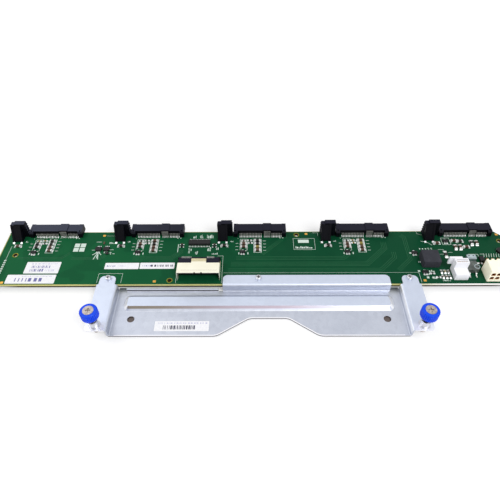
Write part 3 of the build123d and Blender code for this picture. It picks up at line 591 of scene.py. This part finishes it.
def islands(node):
    """The lowest and highest corner of each separate solid in a CAD node, in millimetres."""
    work = bmesh.new()
    work.from_mesh(frame["nodes"][node].data)
    bmesh.ops.remove_doubles(work, verts=work.verts, dist=WELD)
    seen = set()
    found = []
    for start in work.verts:
        if start in seen:
            continue
        seen.add(start)
        front = [start]
        group = []
        while front:
            vert = front.pop()
            group.append(vert.co / MM)
            for edge in vert.link_edges:
                other = edge.other_vert(vert)
                if other not in seen:
                    seen.add(other)
                    front.append(other)
        low = Vector([min(p[i] for p in group) for i in range(3)])
        high = Vector([max(p[i] for p in group) for i in range(3)])
        found.append((low, high))
    work.free()
    return sorted(found, key=lambda pair: tuple(pair[0]))


def spread(low, high):
    """Centre and half sizes of a solid, from its lowest and highest corner."""
    return (low + high) / 2, (high - low) / 2


# CAD nodes: finish and broken edges
BROKEN_FROM = 32


def dress(nodes, finish, edge=0.0):
    """Give CAD nodes a finish, and break their edges by edge millimetres."""
    for name in nodes:
        node = frame["nodes"][name]
        node.data.materials.clear()
        node.data.materials.append(finish.material)
        if not edge:
            continue
        weld = node.modifiers.new("weld", "WELD")
        weld.merge_threshold = WELD
        bevel = node.modifiers.new("broken_edges", "BEVEL")
        bevel.width = edge * MM
        bevel.segments = 2
        bevel.limit_method = "ANGLE"
        bevel.angle_limit = math.radians(BROKEN_FROM)
        node.modifiers.new("even_shading", "WEIGHTED_NORMAL").keep_sharp = True


def each(pattern, keys=DRIVES):
    return [pattern.format(key) for key in keys]


dress(["circuit_board"], board)
dress(["mounting_bracket"], zinc, 0.12)
dress(each("drive_connector_{}"), black_plastic, 0.12)
dress(each("signal_connector_{}"), black_plastic, 0.1)
dress(["data_housing"], black_plastic, 0.1)
dress(each("drive_contacts_{}"), comb)
dress(each("signal_contacts_{}") + ["load_switch_leads"], tin)
dress(["data_contacts", "aux_pins"], gold)
dress(["power_pins"], terminal)
dress(["data_cage"], shell, 0.06)
dress(["power_connector"], ivory, 0.12)
dress(["aux_connector"], white_plastic, 0.15)
dress(["power_inductor"], ferrite, 0.25)
dress(["controller_chip", "driver_chips", "transistors"], dark_chip, 0.08)
dress(["load_switches"], mottled, 0.2)
dress(["filter_coil"], coil_plate, 0.3)
dress(["controller_chip_leads", "driver_chip_leads"], tin, 0.04)
dress(["chip_capacitors", "chip_resistors"], ceramic, 0.06)
dress(["board_nuts"], screw_plate, 0.1)
dress(["board_screws"], screw_plate, 0.08)
dress(each("{}_knob", SIDES), blue_plastic, 0.15)
dress(each("{}_captive_screw", SIDES), cap_plate, 0.1)
dress(each("{}_retainer", SIDES), screw_plate, 0.1)


# Chips: plated ends, pads and solder
END_SHARE = 0.2
PROUD = 0.07
GLAZE = 0.03
END_CORNER, END_EDGE = 0.12, 0.1
PAD = 0.06
PAD_EDGE = 0.03
PAD_CORNER = 0.2
PAD_RIM = 0.1
PAD_OUT = 0.35
PAD_HALF = 0.75
PAD_SIDE = 0.15
CREST_HALF = 0.4
CREST_IN = 0.34
SOLDER_CLIMB = 0.75

ends = Piece("chip_ends", tin)
glaze = Piece("chip_glaze", ceramic, dark_ceramic, amber_ceramic)
joints = Piece("solder_joints", solder, comb)


def around(middle, reach):
    """The rectangle that reaches that far to each side of its middle."""
    return (middle.x - reach.x, middle.y - reach.y, middle.x + reach.x, middle.y + reach.y)


def chip_end(low, high, long_way, side):
    """A chip's plated end, with its pad and the solder between the two."""
    centre, half = spread(low, high)
    length = 2 * half[long_way] * END_SHARE
    middle = centre.copy()
    middle[long_way] += side * (half[long_way] - length / 2 + PROUD / 2)
    size = Vector((2 * half.x + 2 * PROUD, 2 * half.y + 2 * PROUD))
    size[long_way] = length + PROUD
    ends.slab(rounded(middle.x, middle.y, size.x, size.y, END_CORNER, 2), TOP, high.z + PROUD, END_EDGE)

    pad = centre.copy()
    pad[long_way] += side * (half[long_way] + PAD_OUT)
    reach = Vector((half.x + PAD_SIDE, half.y + PAD_SIDE))
    reach[long_way] = PAD_HALF
    base = around(pad, reach)
    rim = around(pad, reach + Vector((PAD_RIM, PAD_RIM)))
    joints.slab(between(*rim, PAD_CORNER, 2), TOP, TOP + PAD, PAD_EDGE)

    crest = pad.copy()
    crest[long_way] -= side * CREST_IN
    crest_reach = reach.copy()
    crest_reach[long_way] = CREST_HALF
    solder_top = low.z + (high.z - low.z) * SOLDER_CLIMB
    joints.heap(base, around(crest, crest_reach), TOP + PAD, solder_top)


tones = random.Random(21)
for node, weights in (("chip_capacitors", (5, 4, 1)), ("chip_resistors", (1, 6, 1))):
    for low, high in islands(node):
        centre, half = spread(low, high)
        long_way = 0 if half.x > half.y else 1
        size = Vector((2 * half.x + 2 * GLAZE, 2 * half.y + 2 * GLAZE))
        size[long_way] -= 4 * half[long_way] * END_SHARE
        tone = tones.choices((0, 1, 2), weights)[0]
        glaze.slab(rounded(centre.x, centre.y, size.x, size.y), TOP, high.z + GLAZE, finish=tone)
        for side in (-1, 1):
            chip_end(low, high, long_way, side)
ends.done("tinned_contact")
glaze.done("ceramic_brown")

# Bent leads of the low transistors
LOW_PACKAGE = 1.6
NARROW_HALF = 2.5
LEAD_HALF = 0.22
LEAD_THICK = 0.14
LEAD_BEND = ((0.0, 0.55), (0.35, 0.5), (0.55, 0.12), (1.1, 0.1))
LEAD_APART, WIDE_LEAD_APART = 0.95, 1.6
LEAD_PAD = (1.5, 1.7, 0.3)
leads = Piece("transistor_leads", tin)
for low, high in islands("transistors"):
    if high.z - low.z > LOW_PACKAGE:
        continue
    centre, half = spread(low, high)
    apart = LEAD_APART if half.x < NARROW_HALF else WIDE_LEAD_APART
    for aside, side in ((-apart, -1), (apart, -1), (0.0, 1)):
        x = centre.x + aside
        y = centre.y + side * half.y
        rings = []
        for out, rise in LEAD_BEND:
            along = y + side * out
            under, over = TOP + rise, TOP + rise + LEAD_THICK
            right, left = x + LEAD_HALF, x - LEAD_HALF
            rings.append([(right, along, under), (left, along, under), (left, along, over), (right, along, over)])
        leads.skin(rings)
        joints.slab(rounded(x, y + side * 0.8, *LEAD_PAD, 2), TOP, TOP + PAD + PAD_EDGE, PAD_EDGE)
leads.done("tinned_contact")


def foot(x0, y0, x1, y1, climb=0.0, finish=0):
    """A tinned pad, with solder that climbs the lead at its far side."""
    corner, inset, crest = 0.15, 0.1, 0.3
    joints.slab(between(x0, y0, x1, y1, corner, 1), TOP, TOP + PAD, finish=finish)
    if climb:
        base = (x0 + inset, y0 + inset, x1 - inset, y1)
        joints.heap(base, (x0 + inset, y1 - crest, x1 - inset, y1), TOP + PAD, TOP + climb)


# Pads of the drive connectors' tails, of the signal connectors and of the chips' leads
TAIL_INSET, TAIL_AHEAD, TAIL_UNDER, TAIL_CLIMB = 0.04, 1.7, 0.3, 0.6
SIGNAL_HALF, SIGNAL_AHEAD, SIGNAL_GAP, SIGNAL_CLIMB = 0.9, 1.9, 0.1, 0.5
CHIP_BESIDE, CHIP_AHEAD, CHIP_UNDER = 0.05, 0.9, 0.4
for node in each("drive_contacts_{}"):
    for low, high in islands(node):
        foot(low.x + TAIL_INSET, low.y - TAIL_AHEAD, high.x - TAIL_INSET, low.y + TAIL_UNDER, TAIL_CLIMB, 1)
for node in each("signal_connector_{}"):
    low, high = box_mm(node)
    for x in (low.x + 1.3, low.x + 7.7):
        foot(x - SIGNAL_HALF, low.y - SIGNAL_AHEAD, x + SIGNAL_HALF, low.y - SIGNAL_GAP, SIGNAL_CLIMB)
for node in ("controller_chip_leads", "driver_chip_leads"):
    chip_y = sum(corner.y for corner in box_mm(node)) / 2
    for low, high in islands(node):
        left, right = low.x - CHIP_BESIDE, high.x + CHIP_BESIDE
        if high.y < chip_y:
            foot(left, low.y - CHIP_AHEAD, right, low.y + CHIP_UNDER)
        elif low.y > chip_y:
            foot(left, high.y - CHIP_UNDER, right, high.y + CHIP_AHEAD)

# Teeth of solder on the data housing, to the left and right of the cage's tongue
TOOTH_COUNT = 26
TOOTH_PITCH = 1.0
TOOTH_WIDTH, TOOTH_DEPTH, TOOTH_PROUD = 0.55, 1.9, 0.02
TONGUE_HALF = 6.0
low, high = box_mm("data_housing")
middle = (low.x + high.x) / 2
for i in range(TOOTH_COUNT):
    x = low.x + 3.2 + TOOTH_PITCH * i
    if abs(x - middle) > TONGUE_HALF:
        tooth = rounded(x, high.y - 1.1, TOOTH_WIDTH, TOOTH_DEPTH)
        joints.slab(tooth, high.z - TOOTH_PROUD, high.z + TOOTH_PROUD, finish=1)
joints.done("tinned_contact")

# Sleeves in the power connector's cavities
SLEEVE_INNER, SLEEVE_OUTER = 1.9, 3.1
SLEEVE_NEAR, SLEEVE_FAR = 0.5, 8.0
mouth = box_mm("power_connector")[0].y
sockets = Piece("power_terminals", terminal)
for low, high in islands("power_pins"):
    if low.y < mouth + SLEEVE_FAR:
        near, far = mouth + SLEEVE_NEAR, mouth + SLEEVE_FAR
        sockets.sleeve((low.x + high.x) / 2, high.z - 0.5, near, far, SLEEVE_INNER, SLEEVE_OUTER)
sockets.done("tinned_contact")

# Small parts beside the controller and driver chips
extras = Piece("small_packages", dark_chip, ceramic, solder)
CERAMIC_PART, SOLDER_PAD = 1, 2


def package(x, y, width, depth, height, edge, finish=0, corner=0.2, steps=1):
    """A small block on the board, placed from the board's front edge."""
    extras.slab(rounded(x, FRONT + y, width, depth, corner, steps), TOP, TOP + height, edge, finish)


for x, y in ((-63.3, 40.3), (-36.2, 40.2)):
    package(x, y, 1.6, 3.0, 1.0, 0.12)
    package(x, y + 1.9, 1.4, 1.0, 0.9, 0.1, CERAMIC_PART)
    for aside, back in ((-1.4, -1.2), (1.4, -1.2), (-1.4, 1.6), (1.4, 1.6)):
        package(x + aside, y + back, 0.9, 1.0, 0.25, 0.08, SOLDER_PAD)
package(-124.0, 32.3, 2.8, 2.8, 0.9, 0.2, corner=1.39, steps=5)
package(-128.7, 43.8, 1.2, 2.6, 0.7, 0.1, CERAMIC_PART)
extras.done("chip_black")

# Traces under the resist: how many run side by side, how far apart, and the first one's path
TRACE = 0.03
TRACE_WIDTH = 0.35
FIRST_ASIDE = 0.01
BUNDLES = (
    (3, 1.5, (-24, 12.6), (98, 12.6), (112, 26.6), (112, 33)),
    (4, 1.3, (-22, 18.4), (88, 18.4), (106, 36.4), (106, 44)),
    (3, 1.5, (-18, 25.2), (70, 25.2), (76, 31.2), (76, 36)),
    (3, 1.4, (112, 12.6), (124, 24.6), (124, 50), (121, 53)),
    (3, 1.2, (-152, 25.5), (-128, 25.5), (-124, 29.5)),
    (4, 1.2, (-102, 25.0), (-70, 25.0), (-62, 33.0), (-62, 36)),
    (2, 1.4, (-196, 26.5), (-160, 26.5), (-154, 32.5)),
    (3, 1.3, (4, 30.0), (24, 50.0), (24, 53)),
)
traces = Piece("copper_traces", covered_copper)
for count, pitch, *path in BUNDLES:
    line = [(x, FRONT + y) for x, y in path]
    for i in range(count):
        traces.ribbon(beside(line, pitch * i + FIRST_ASIDE), TRACE_WIDTH, TOP, TOP + TRACE)
traces.done("board_green")

# White ink on the board, each place given from the board's front edge
INK = 0.04
ink = Piece("silkscreen", silk)


def stroke(points, width, closed=False):
    ink.ribbon([(x, FRONT + y) for x, y in points], width, TOP, TOP + INK, closed)


def frame_line(x0, y0, x1, y1, width):
    stroke([(x0, y0), (x1, y0), (x1, y1), (x0, y1)], width, True)


def patch(x0, y0, x1, y1):
    ink.slab(between(x0, FRONT + y0, x1, FRONT + y1), TOP, TOP + INK)


def dot(x, y, half_width, half_depth):
    patch(x - half_width, y - half_depth, x + half_width, y + half_depth)


def marks(x0, y0, x1, y1, seed, wide=0.5, gap=0.45):
    """Generic marks where the board has small print."""
    draw = random.Random(seed)
    x = x0
    while x < x1 - wide:
        width = wide * draw.uniform(0.6, 1.4)
        rise = (y1 - y0) * draw.choice((0.5, 0.75, 1.0))
        patch(x, y0, min(x + width, x1), y0 + rise)
        x += width + gap * draw.uniform(0.6, 1.5)


# Lines on the whole board: width, then the points
WHITE_LINES = (
    (0.22, (-125.8, 1.6), (-125.8, 10.8), (-107.0, 10.8), (-107.0, 1.2)),
    (0.14, (-27.4, 11.2), (126.1, 11.2)),
    (0.22, (126.1, 11.2), (126.1, 1.2)),
    (0.22, (-64.4, 1.0), (-64.4, 15.0)),
    (0.22, (-33.0, 29.2), (-28.6, 29.2), (-28.6, 1.0)),
    (0.25, (46.2, 55.2), (50.6, 55.2), (50.6, 51.6)),
    (0.25, (-205.3, 18.0), (-205.3, 40.5)),
    (0.22, (147.5, 35.5), (152.2, 35.5)),
    (0.22, (147.7, 30.4), (152.1, 30.4)),
    (0.22, (155.1, 32.3), (158.5, 32.3)),
    (0.4, (-137.4, 36.0), (-134.2, 36.0)),
    (0.4, (-127.2, 36.4), (-119.4, 36.4)),
    (0.5, (-119.6, 31.9), (-117.8, 31.9)),
    (0.4, (-123.0, 32.3), (-121.0, 33.6), (-121.0, 31.0)),
    (0.4, (-135.4, 45.2), (-131.2, 45.2)),
    (0.18, (-128.4, 52.3), (-121.2, 52.3)),
    (0.2, (134.1, 56.4), (134.7, 53.5), (138.2, 52.3)),
    (0.3, (135.6, 45.0), (140.3, 44.1), (143.8, 40.6)),
    (0.3, (170.6, 30.2), (178.2, 30.2), (178.2, 27.0)),
    (0.3, (180.0, 30.4), (183.4, 30.4)),
    (0.35, (194.2, 31.4), (194.6, 34.6), (196.2, 36.6)),
)
for width, *points in WHITE_LINES:
    stroke(points, width)
frame_line(29.5, 35.9, 47.2, 48.6, 0.22)
frame_line(153.0, 41.0, 159.8, 48.6, 0.3)

# Fan of lines beside the first drive connector, and hatching above the power connector
FAN_ROOT = (-131.7, 34.2)
for tip in ((-135.8, 30.6), (-134.1, 25.8), (-130.5, 25.8), (-128.6, 30.6), (-131.7, 27.0)):
    stroke([FAN_ROOT, tip], 0.6)
for i in range(8):
    x = 182.4 + 2.0 * i
    stroke([(x, 27.0), (x + 0.9, 30.9)], 0.35)

# Solid patches: the four squares, the ladder at the left end, the row of dots and single ones
SQUARE = 4.2
for x in (-152.8, -147.8):
    for y in (34.4, 39.3):
        patch(x, y, x + SQUARE, y + SQUARE)
for i in range(7):
    patch(-206.2, 11.0 + 2.2 * i, -204.4, 12.2 + 2.2 * i)
for i in range(5):
    patch(132.2 + 2.4 * i, 35.8, 133.2 + 2.4 * i, 36.9)
for x, y in ((139.7, 36.8), (142.2, 36.8), (129.1, 21.8), (153.1, 33.1), (153.4, 27.7)):
    dot(x, y, 0.5, 0.5)
for x, y in ((124.3, 31.8), (129.2, 22.0), (126.6, 12.6)):
    dot(x, y, 0.9, 0.7)
patch(33.4, 43.6, 42.4, 47.2)
patch(131.2, 5.2, 133.0, 7.0)
patch(135.4, 5.0, 137.2, 6.8)

# Small print: the corners of each run, its seed, and its marks' width and gap
SMALL_PRINT = [
    (31.0, 37.2, 46.0, 39.6, 3, 0.9),
    (-57.4, 32.1, -55.6, 39.7, 31, 0.5, 0.4),
    (-51.1, 30.8, -49.2, 36.8, 32, 0.5, 0.4),
    (-41.8, 34.5, -38.6, 37.3, 33, 0.5, 0.4),
    (-66.5, 33.4, -65.4, 42.3, 34, 0.5, 0.4),
    (-37.9, 30.8, -33.0, 32.6, 35, 0.5, 0.4),
    (-124.4, 43.2, -118.4, 45.0, 5, 0.6, 0.4),
    (136.4, 4.6, 139.2, 6.0, 9, 0.6),
    (131.6, 8.6, 134.8, 10.4, 6, 0.6),
    (142.8, 2.4, 148.8, 3.6, 7, 0.6),
    (130.0, 11.6, 140.0, 13.6, 8, 0.9, 0.7),
]
SMALL_PRINT += [(x, 49.2, x + 3.2, 53.2, round(x), 0.6) for x in (-54.6, -48.8, -43.0, -40.0)]
for x, y in ((-57.4, 34.8), (-51.6, 32.0), (-41.0, 36.4), (-34.6, 36.0)):
    SMALL_PRINT.append((x, y, x + 3.0, y + 3.2, round(x), 0.6))
for run in SMALL_PRINT:
    marks(*run)

# Print before each of the first four drive connectors, given from the connector's middle
CHIP_LINES = (
    (0.3, (-16.4, 48.0), (-10.6, 48.0), (-10.6, 35.2)),
    (0.3, (-16.4, 48.0), (-16.4, 35.2)),
    (0.8, (-17.3, 30.9), (-17.3, 33.0)),
    (0.8, (-9.9, 30.9), (-9.9, 33.0)),
    (0.8, (-12.2, 34.9), (-11.2, 34.9)),
    (0.5, (-18.6, 48.9), (-18.0, 48.9)),
)
CHIP_DOTS = ((-8.4, 43.4), (-5.4, 46.0), (-8.8, 46.8), (16.9, 49.4), (19.4, 49.4))
ROW_PITCH = 3.6
for x in drive_x[:4]:
    frame_line(x - 5.0, 32.9, x + 1.2, 48.0, 0.3)
    for width, *points in CHIP_LINES:
        stroke([(x + aside, y) for aside, y in points], width)
    for row in range(4):
        y = 46.0 - ROW_PITCH * row
        stroke([(x + 2.6, y), (x + 5.0, y)], 0.35)
    for row in range(3):
        y = 43.2 - ROW_PITCH * row
        stroke([(x - 20.2, y), (x - 18.0, y)], 0.35)
    marks(x - 24.6, 44.8, x - 22.0, 46.4, round(x), 0.5, 0.3)
    for aside, y in CHIP_DOTS:
        dot(x + aside, y, 0.4, 0.4)
ink.done("white_plastic")

# Bare gold: sighting marks, and rings round the tooling holes
sights = Piece("gold_marks", gold)
for x, y in ((-130.4, 52.6), (-81.0, 2.8), (40.8, 54.0), (129.0, 3.2), (201.0, 52.6), (-200.0, 1.9)):
    sights.slab(rounded(x, FRONT + y, 2.3, 2.1, 0.3, 2), TOP, TOP + 0.05, 0.02)
sights.done("gold_contact")

RING_INNER, RING_OUTER, RING_THICK = 1.76, 2.3, 0.05
BARREL_INNER, BARREL_OUTER = 1.68, 1.745
rings = Piece("hole_rings", ring_gold)
# The barrels in the tooling holes are real plating, coloured dark as painted shade
barrels = Piece("hole_barrels", painted_recess_shade)
for mount in frame["record"]["mounts"]:
    if mount["name"].startswith("tooling_hole"):
        x, y = (value / MM for value in mount["pos_m"][:2])
        rings.collar(x, y, RING_INNER, RING_OUTER, TOP, TOP + RING_THICK)
        rings.collar(x, y, RING_INNER, RING_OUTER, UNDER - RING_THICK, UNDER)
        barrels.collar(x, y, BARREL_INNER, BARREL_OUTER, UNDER, TOP)
rings.done("gold_contact")
barrels.done("gold_contact")

# Ring on the load switch, dots on the filter coil, and a painted shadow line along the coil's front
SWITCH_X, SWITCH_Y = 171.0, 13.4
switch_top = box_mm("load_switches")[1].z
coil_low, coil_high = box_mm("filter_coil")
coil_level = (coil_high.z - 0.01, coil_high.z + 0.02)
trims = Piece("markings_and_shadow_line", coil_plate, dark_chip)
trims.collar(SWITCH_X, FRONT + SWITCH_Y, 1.7, 2.2, switch_top - 0.01, switch_top + 0.03)
for x in (coil_low.x + 1.9, coil_high.x - 1.9):
    trims.slab(rounded(x, coil_high.y - 1.1, 1.1, 1.0, 0.5), *coil_level, finish=1)
# painted shadow: a dark line along the front of the coil's top
trims.slab(rounded(coil_low.x + 3.6, coil_low.y + 0.9, 5.4, 0.3), *coil_level, finish=1)
trims.done("chip_black")

# Painted highlight: a bright strip along the cut front edge of the bracket's plate
EDGE_INSET, EDGE_WIDTH = 0.5, 0.55
NOTCH_RADIUS = 10.0
PLATE_OUTLINE = (
    (-105.0, PLATE_FRONT), (-31.0, PLATE_FRONT), (-7.0, 1.0), (22.0, 1.0), (44.0, PLATE_FRONT), (105.0, PLATE_FRONT)
)
edge_line = bent([(x, y + EDGE_INSET) for x, y in PLATE_OUTLINE], NOTCH_RADIUS)
glint = Piece("plate_edge_glint", edge_glint_finish)
glint.ribbon(edge_line, EDGE_WIDTH, PLATE_TOP - 0.02, PLATE_TOP + 0.015)
glint.done("galvanised_sheet")

# Painted shade: a dark strip along the crease in the top of the cage
cage_low, cage_high = box_mm("data_cage")
crease_y = cage_low.y + 2.6
crease_line = [(cage_low.x + 3.5, crease_y), (cage_high.x - 2.0, crease_y)]
crease = Piece("cage_crease", painted_recess_shade)
crease.ribbon(crease_line, 0.14, cage_high.z - 0.02, cage_high.z + 0.01)
crease.done("cage_metal")

# Painted shade: dark crossed strips in the recesses of the board screws' heads
RECESS_HALF, RECESS_WIDTH = 1.3, 0.6
RECESS_FLOOR, RECESS_SKIN = 0.98, 0.9
recesses = Piece("screw_recesses", painted_recess_shade)
for low, high in islands("board_screws"):
    middle, _ = spread(low, high)
    for way in (Vector((1.0, 0.0)), Vector((0.0, 1.0))):
        line = [tuple(middle.xy - way * RECESS_HALF), tuple(middle.xy + way * RECESS_HALF)]
        recesses.ribbon(line, RECESS_WIDTH, high.z - RECESS_FLOOR, high.z - RECESS_SKIN)
recesses.done("plated_screw")

# Bare laminate left by the routing along the left and rear edges
left_x, rear_y = board_low.x + 0.35, board_high.y - 0.25
left_edge = [(left_x, FRONT + 1.5), (left_x, board_high.y - 1.5)]
rear_edge = [(board_low.x + 2.0, rear_y), (board_high.x - 7.0, rear_y)]
strip = Piece("bare_edges", laminate_edge)
strip.ribbon(left_edge, 0.6, TOP, TOP + 0.03)
strip.ribbon(rear_edge, 0.3, TOP, TOP + 0.03)
strip.done("board_green")


# Paper labels with printed bars
PAPER = 0.1
PRINT = 0.015
BARS, FAINT, DARK = 1, 2, 3


def label(name, corners, surface, rows, seed):
    """A label whose rows are (share from left, share to, share from bottom, share to, ink, coarseness)."""
    x0, y0, x1, y1 = corners
    width, depth = x1 - x0, y1 - y0
    skin = surface + PAPER
    draw = random.Random(seed)
    piece = Piece(name, paper, bar_ink, faint_ink, dark_ink)
    piece.slab(between(*corners, 0.5), surface, skin, 0.04)
    for left, right, low, high, tone, coarse in rows:
        x = x0 + width * left
        while x < x0 + width * right:
            bar = coarse * draw.choice((0.5, 0.5, 1.0, 1.6))
            outline = between(x, y0 + depth * low, x + bar, y0 + depth * high)
            piece.slab(outline, skin, skin + PRINT, finish=tone)
            x += bar + coarse * draw.choice((0.6, 0.9, 1.4))
    piece.done("white_plastic")


rows_a = [
    (0.16, 0.90, 0.78, 0.88, FAINT, 0.8),
    (0.18, 0.72, 0.46, 0.68, BARS, 0.7),
    (0.16, 0.52, 0.16, 0.38, BARS, 0.7),
    (0.60, 0.86, 0.18, 0.34, FAINT, 0.7),
]
rows_b = [(0.30, 0.90, 0.76, 0.86, FAINT, 0.6), (0.18, 0.76, 0.22, 0.62, BARS, 1.5)]
rows_c = [(0.06, 0.34, 0.36, 0.60, BARS, 0.8), (0.38, 0.60, 0.42, 0.58, FAINT, 0.8)]
rows_d = [(0.08, 0.30, 0.40, 0.58, BARS, 0.8), (0.32, 0.92, 0.34, 0.66, DARK, 0.9)]
rows_bracket = [(0.06, 0.94, 0.72, 0.86, FAINT, 0.9), (0.16, 0.74, 0.16, 0.56, DARK, 0.7)]
label("label_a", (-186.4, FRONT + 11.1, -158.8, FRONT + 23.1), TOP, rows_a, 11)
label("label_b", (-197.8, FRONT + 0.9, -159.2, FRONT + 9.8), TOP, rows_b, 12)
label("label_c", (-122.9, FRONT + 15.4, -95.6, FRONT + 21.9), TOP, rows_c, 13)
label("label_d", (-94.8, FRONT + 15.6, -67.0, FRONT + 22.0), TOP, rows_d, 14)
label("bracket_label", (-76.5, FRONT - 38.8, -36.5, FRONT - 30.2), PLATE_TOP, rows_bracket, 15)


# Thumbscrews: sprung wire and cut thread
WIRE_RADIUS = 0.26
COIL_TURNS = 7.6
COIL_STEPS = 200
CLOSED_ENDS = 0.055
THREAD_PITCH = 0.7
THREAD_TURNS = 7
THREAD_START = 0.7
THREAD_SHAPE = ((1.95, -0.26), (2.2, -0.06), (2.2, 0.06), (1.95, 0.26))
AROUND = 24


def wind_spring(side):
    """The coil in a thumbscrew, wound closer at its ends; the share it would keep when pressed is worked out but not
    used.
    """
    low, high = box_mm(f"{side}_spring")
    centre, half = spread(low, high)
    radius = half.x - WIRE_RADIUS
    rise = high.z - low.z - 2 * WIRE_RADIUS
    points = []
    for i in range(COIL_STEPS + 1):
        share = i / COIL_STEPS
        climb = share - CLOSED_ENDS * math.sin(math.tau * share)
        angle = math.tau * COIL_TURNS * share
        z = low.z + WIRE_RADIUS + rise * climb
        points.append((centre.x + radius * math.cos(angle), centre.y + radius * math.sin(angle), z))
    coil = Piece(f"{side}_spring_wire", spring_wire)
    coil.tube(points, WIRE_RADIUS)
    piece = coil.done("spring_steel", sharp=60)
    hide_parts(f"{side}_spring")
    travel = next(j for j in frame["joints"] if j["name"] == f"{side}_press")["range_m"][1]
    keep = 1 - travel / ((high.z - low.z) * MM)
    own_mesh(piece)


def cut_thread(side):
    """The ridge of the thread, from the tip of a captive screw upwards."""
    low, high = box_mm(f"{side}_captive_screw")
    centre, _ = spread(low, high)
    rings = []
    for i in range(AROUND * THREAD_TURNS):
        angle = math.tau * i / AROUND
        x, y = math.cos(angle), math.sin(angle)
        z = low.z + THREAD_START + THREAD_PITCH * i / AROUND
        rings.append([(centre.x + r * x, centre.y + r * y, z + rise) for r, rise in THREAD_SHAPE])
    thread = Piece(f"{side}_thread", cap_plate)
    thread.skin(rings)
    thread.done("plated_screw", f"{side}_thumbscrew")


for side in SIDES:
    wind_spring(side)
    cut_thread(side)


# Room: pale floor, soft light from above and behind the camera
FLOOR_SHOWN = 0.45
FLOOR_GLOW = 1.2
FLOOR_HALF = 4.0
FLOOR_LEVEL = -0.0003
SKY_LIGHT = 0.55
HOLE_X, HOLE_REACH = 95.0, 3.4
SHADE_FRONT, SHADE_REAR, SHADE_ENDS = 3, (22, 4), (24, 4)
PLATE_SHADE, PLATE_SHADE_X, PLATE_SHADE_Y = 0.4, (106, 120), (-24, -15)
FAR_X, FAR_Y = (300, 450), (140, 300)

room = Finish("floor", Roughness=0.9)
across, along, _ = room.axes(room.place)
half_length = (board_high.x - board_low.x) / 2
from_middle = abs(across - (board_low.x + board_high.x) / 2)
# painted shadow: under the board and the bracket's holes the floor is coloured dark brown-grey and has no glow of its
# own
under_ends = 1 - from_middle.sharpened(*(half_length - inset for inset in SHADE_ENDS))
under_rear = 1 - along.sharpened(*(board_high.y - inset for inset in SHADE_REAR))
under_board = (along > FRONT + SHADE_FRONT) * under_rear * under_ends
under_holes = (abs(abs(across) - HOLE_X) < HOLE_REACH) * (abs(along) < HOLE_REACH)
open_floor = (1 - under_board) * (1 - under_holes)
pale = room.mixed(room.noise(4.0), shade(248, 248, 249), shade(252, 252, 253))
room.colour(room.mixed(open_floor, shade(104, 94, 90), pale))

# painted shadow: the floor's glow is lessened just in front of the bracket's plate
beside_plate = along.sharpened(*PLATE_SHADE_Y) * (1 - abs(across).sharpened(*PLATE_SHADE_X))
far_off = 1 - (1 - abs(along).sharpened(*FAR_Y)) * (1 - abs(across).sharpened(*FAR_X))
own_light = FLOOR_SHOWN * (1 - beside_plate * PLATE_SHADE) + (1 - FLOOR_SHOWN) * far_off
shown = room.background_seen() * open_floor * own_light
glow = room.node("ShaderNodeEmission", None, {"Color": (1, 1, 1, 1), "Strength": FLOOR_GLOW})
shares = {0: shown, 1: Wire(room, room.shader.outputs[0]), 2: glow}
room.feed(room.tree.nodes["Material Output"].inputs[0], room.node("ShaderNodeMixShader", None, shares))

floor_corners = rounded(0, 0, 2 * FLOOR_HALF, 2 * FLOOR_HALF)()
floor_mesh = bpy.data.meshes.new("floor")
floor_mesh.from_pydata([(x, y, FLOOR_LEVEL) for x, y in floor_corners], [], [(0, 1, 2, 3)])
floor_mesh.materials.append(room.material)
floor = bpy.data.objects.new("floor", floor_mesh)
scene.collection.objects.link(floor)

world = bpy.data.worlds.new("studio")
world.use_nodes = True
scene.world = world
studio = Nodes(world.node_tree)
sky = world.node_tree.nodes["Background"]
studio.feed(sky.inputs["Color"], (1.0, 1.0, 1.0, 1.0))
studio.feed(sky.inputs["Strength"], SKY_LIGHT + (1 - SKY_LIGHT) * studio.background_seen())


def lamp(name, place, aim, size, power):
    """A round soft lamp that looks at the aim, in metres and watts."""
    data = bpy.data.lights.new(name, "AREA")
    data.shape = "DISK"
    data.size = size
    data.energy = power
    made = bpy.data.objects.new(name, data)
    made.location = place
    made.rotation_euler = (Vector(aim) - Vector(place)).to_track_quat("-Z", "Y").to_euler()
    scene.collection.objects.link(made)


BOARD_MIDDLE = (0, 0.03, 0)
lamp("key", (0.5, -0.55, 0.95), BOARD_MIDDLE, 0.5, 6.0)
lamp("fill", (-0.7, 0.2, 0.9), BOARD_MIDDLE, 0.6, 3.0)
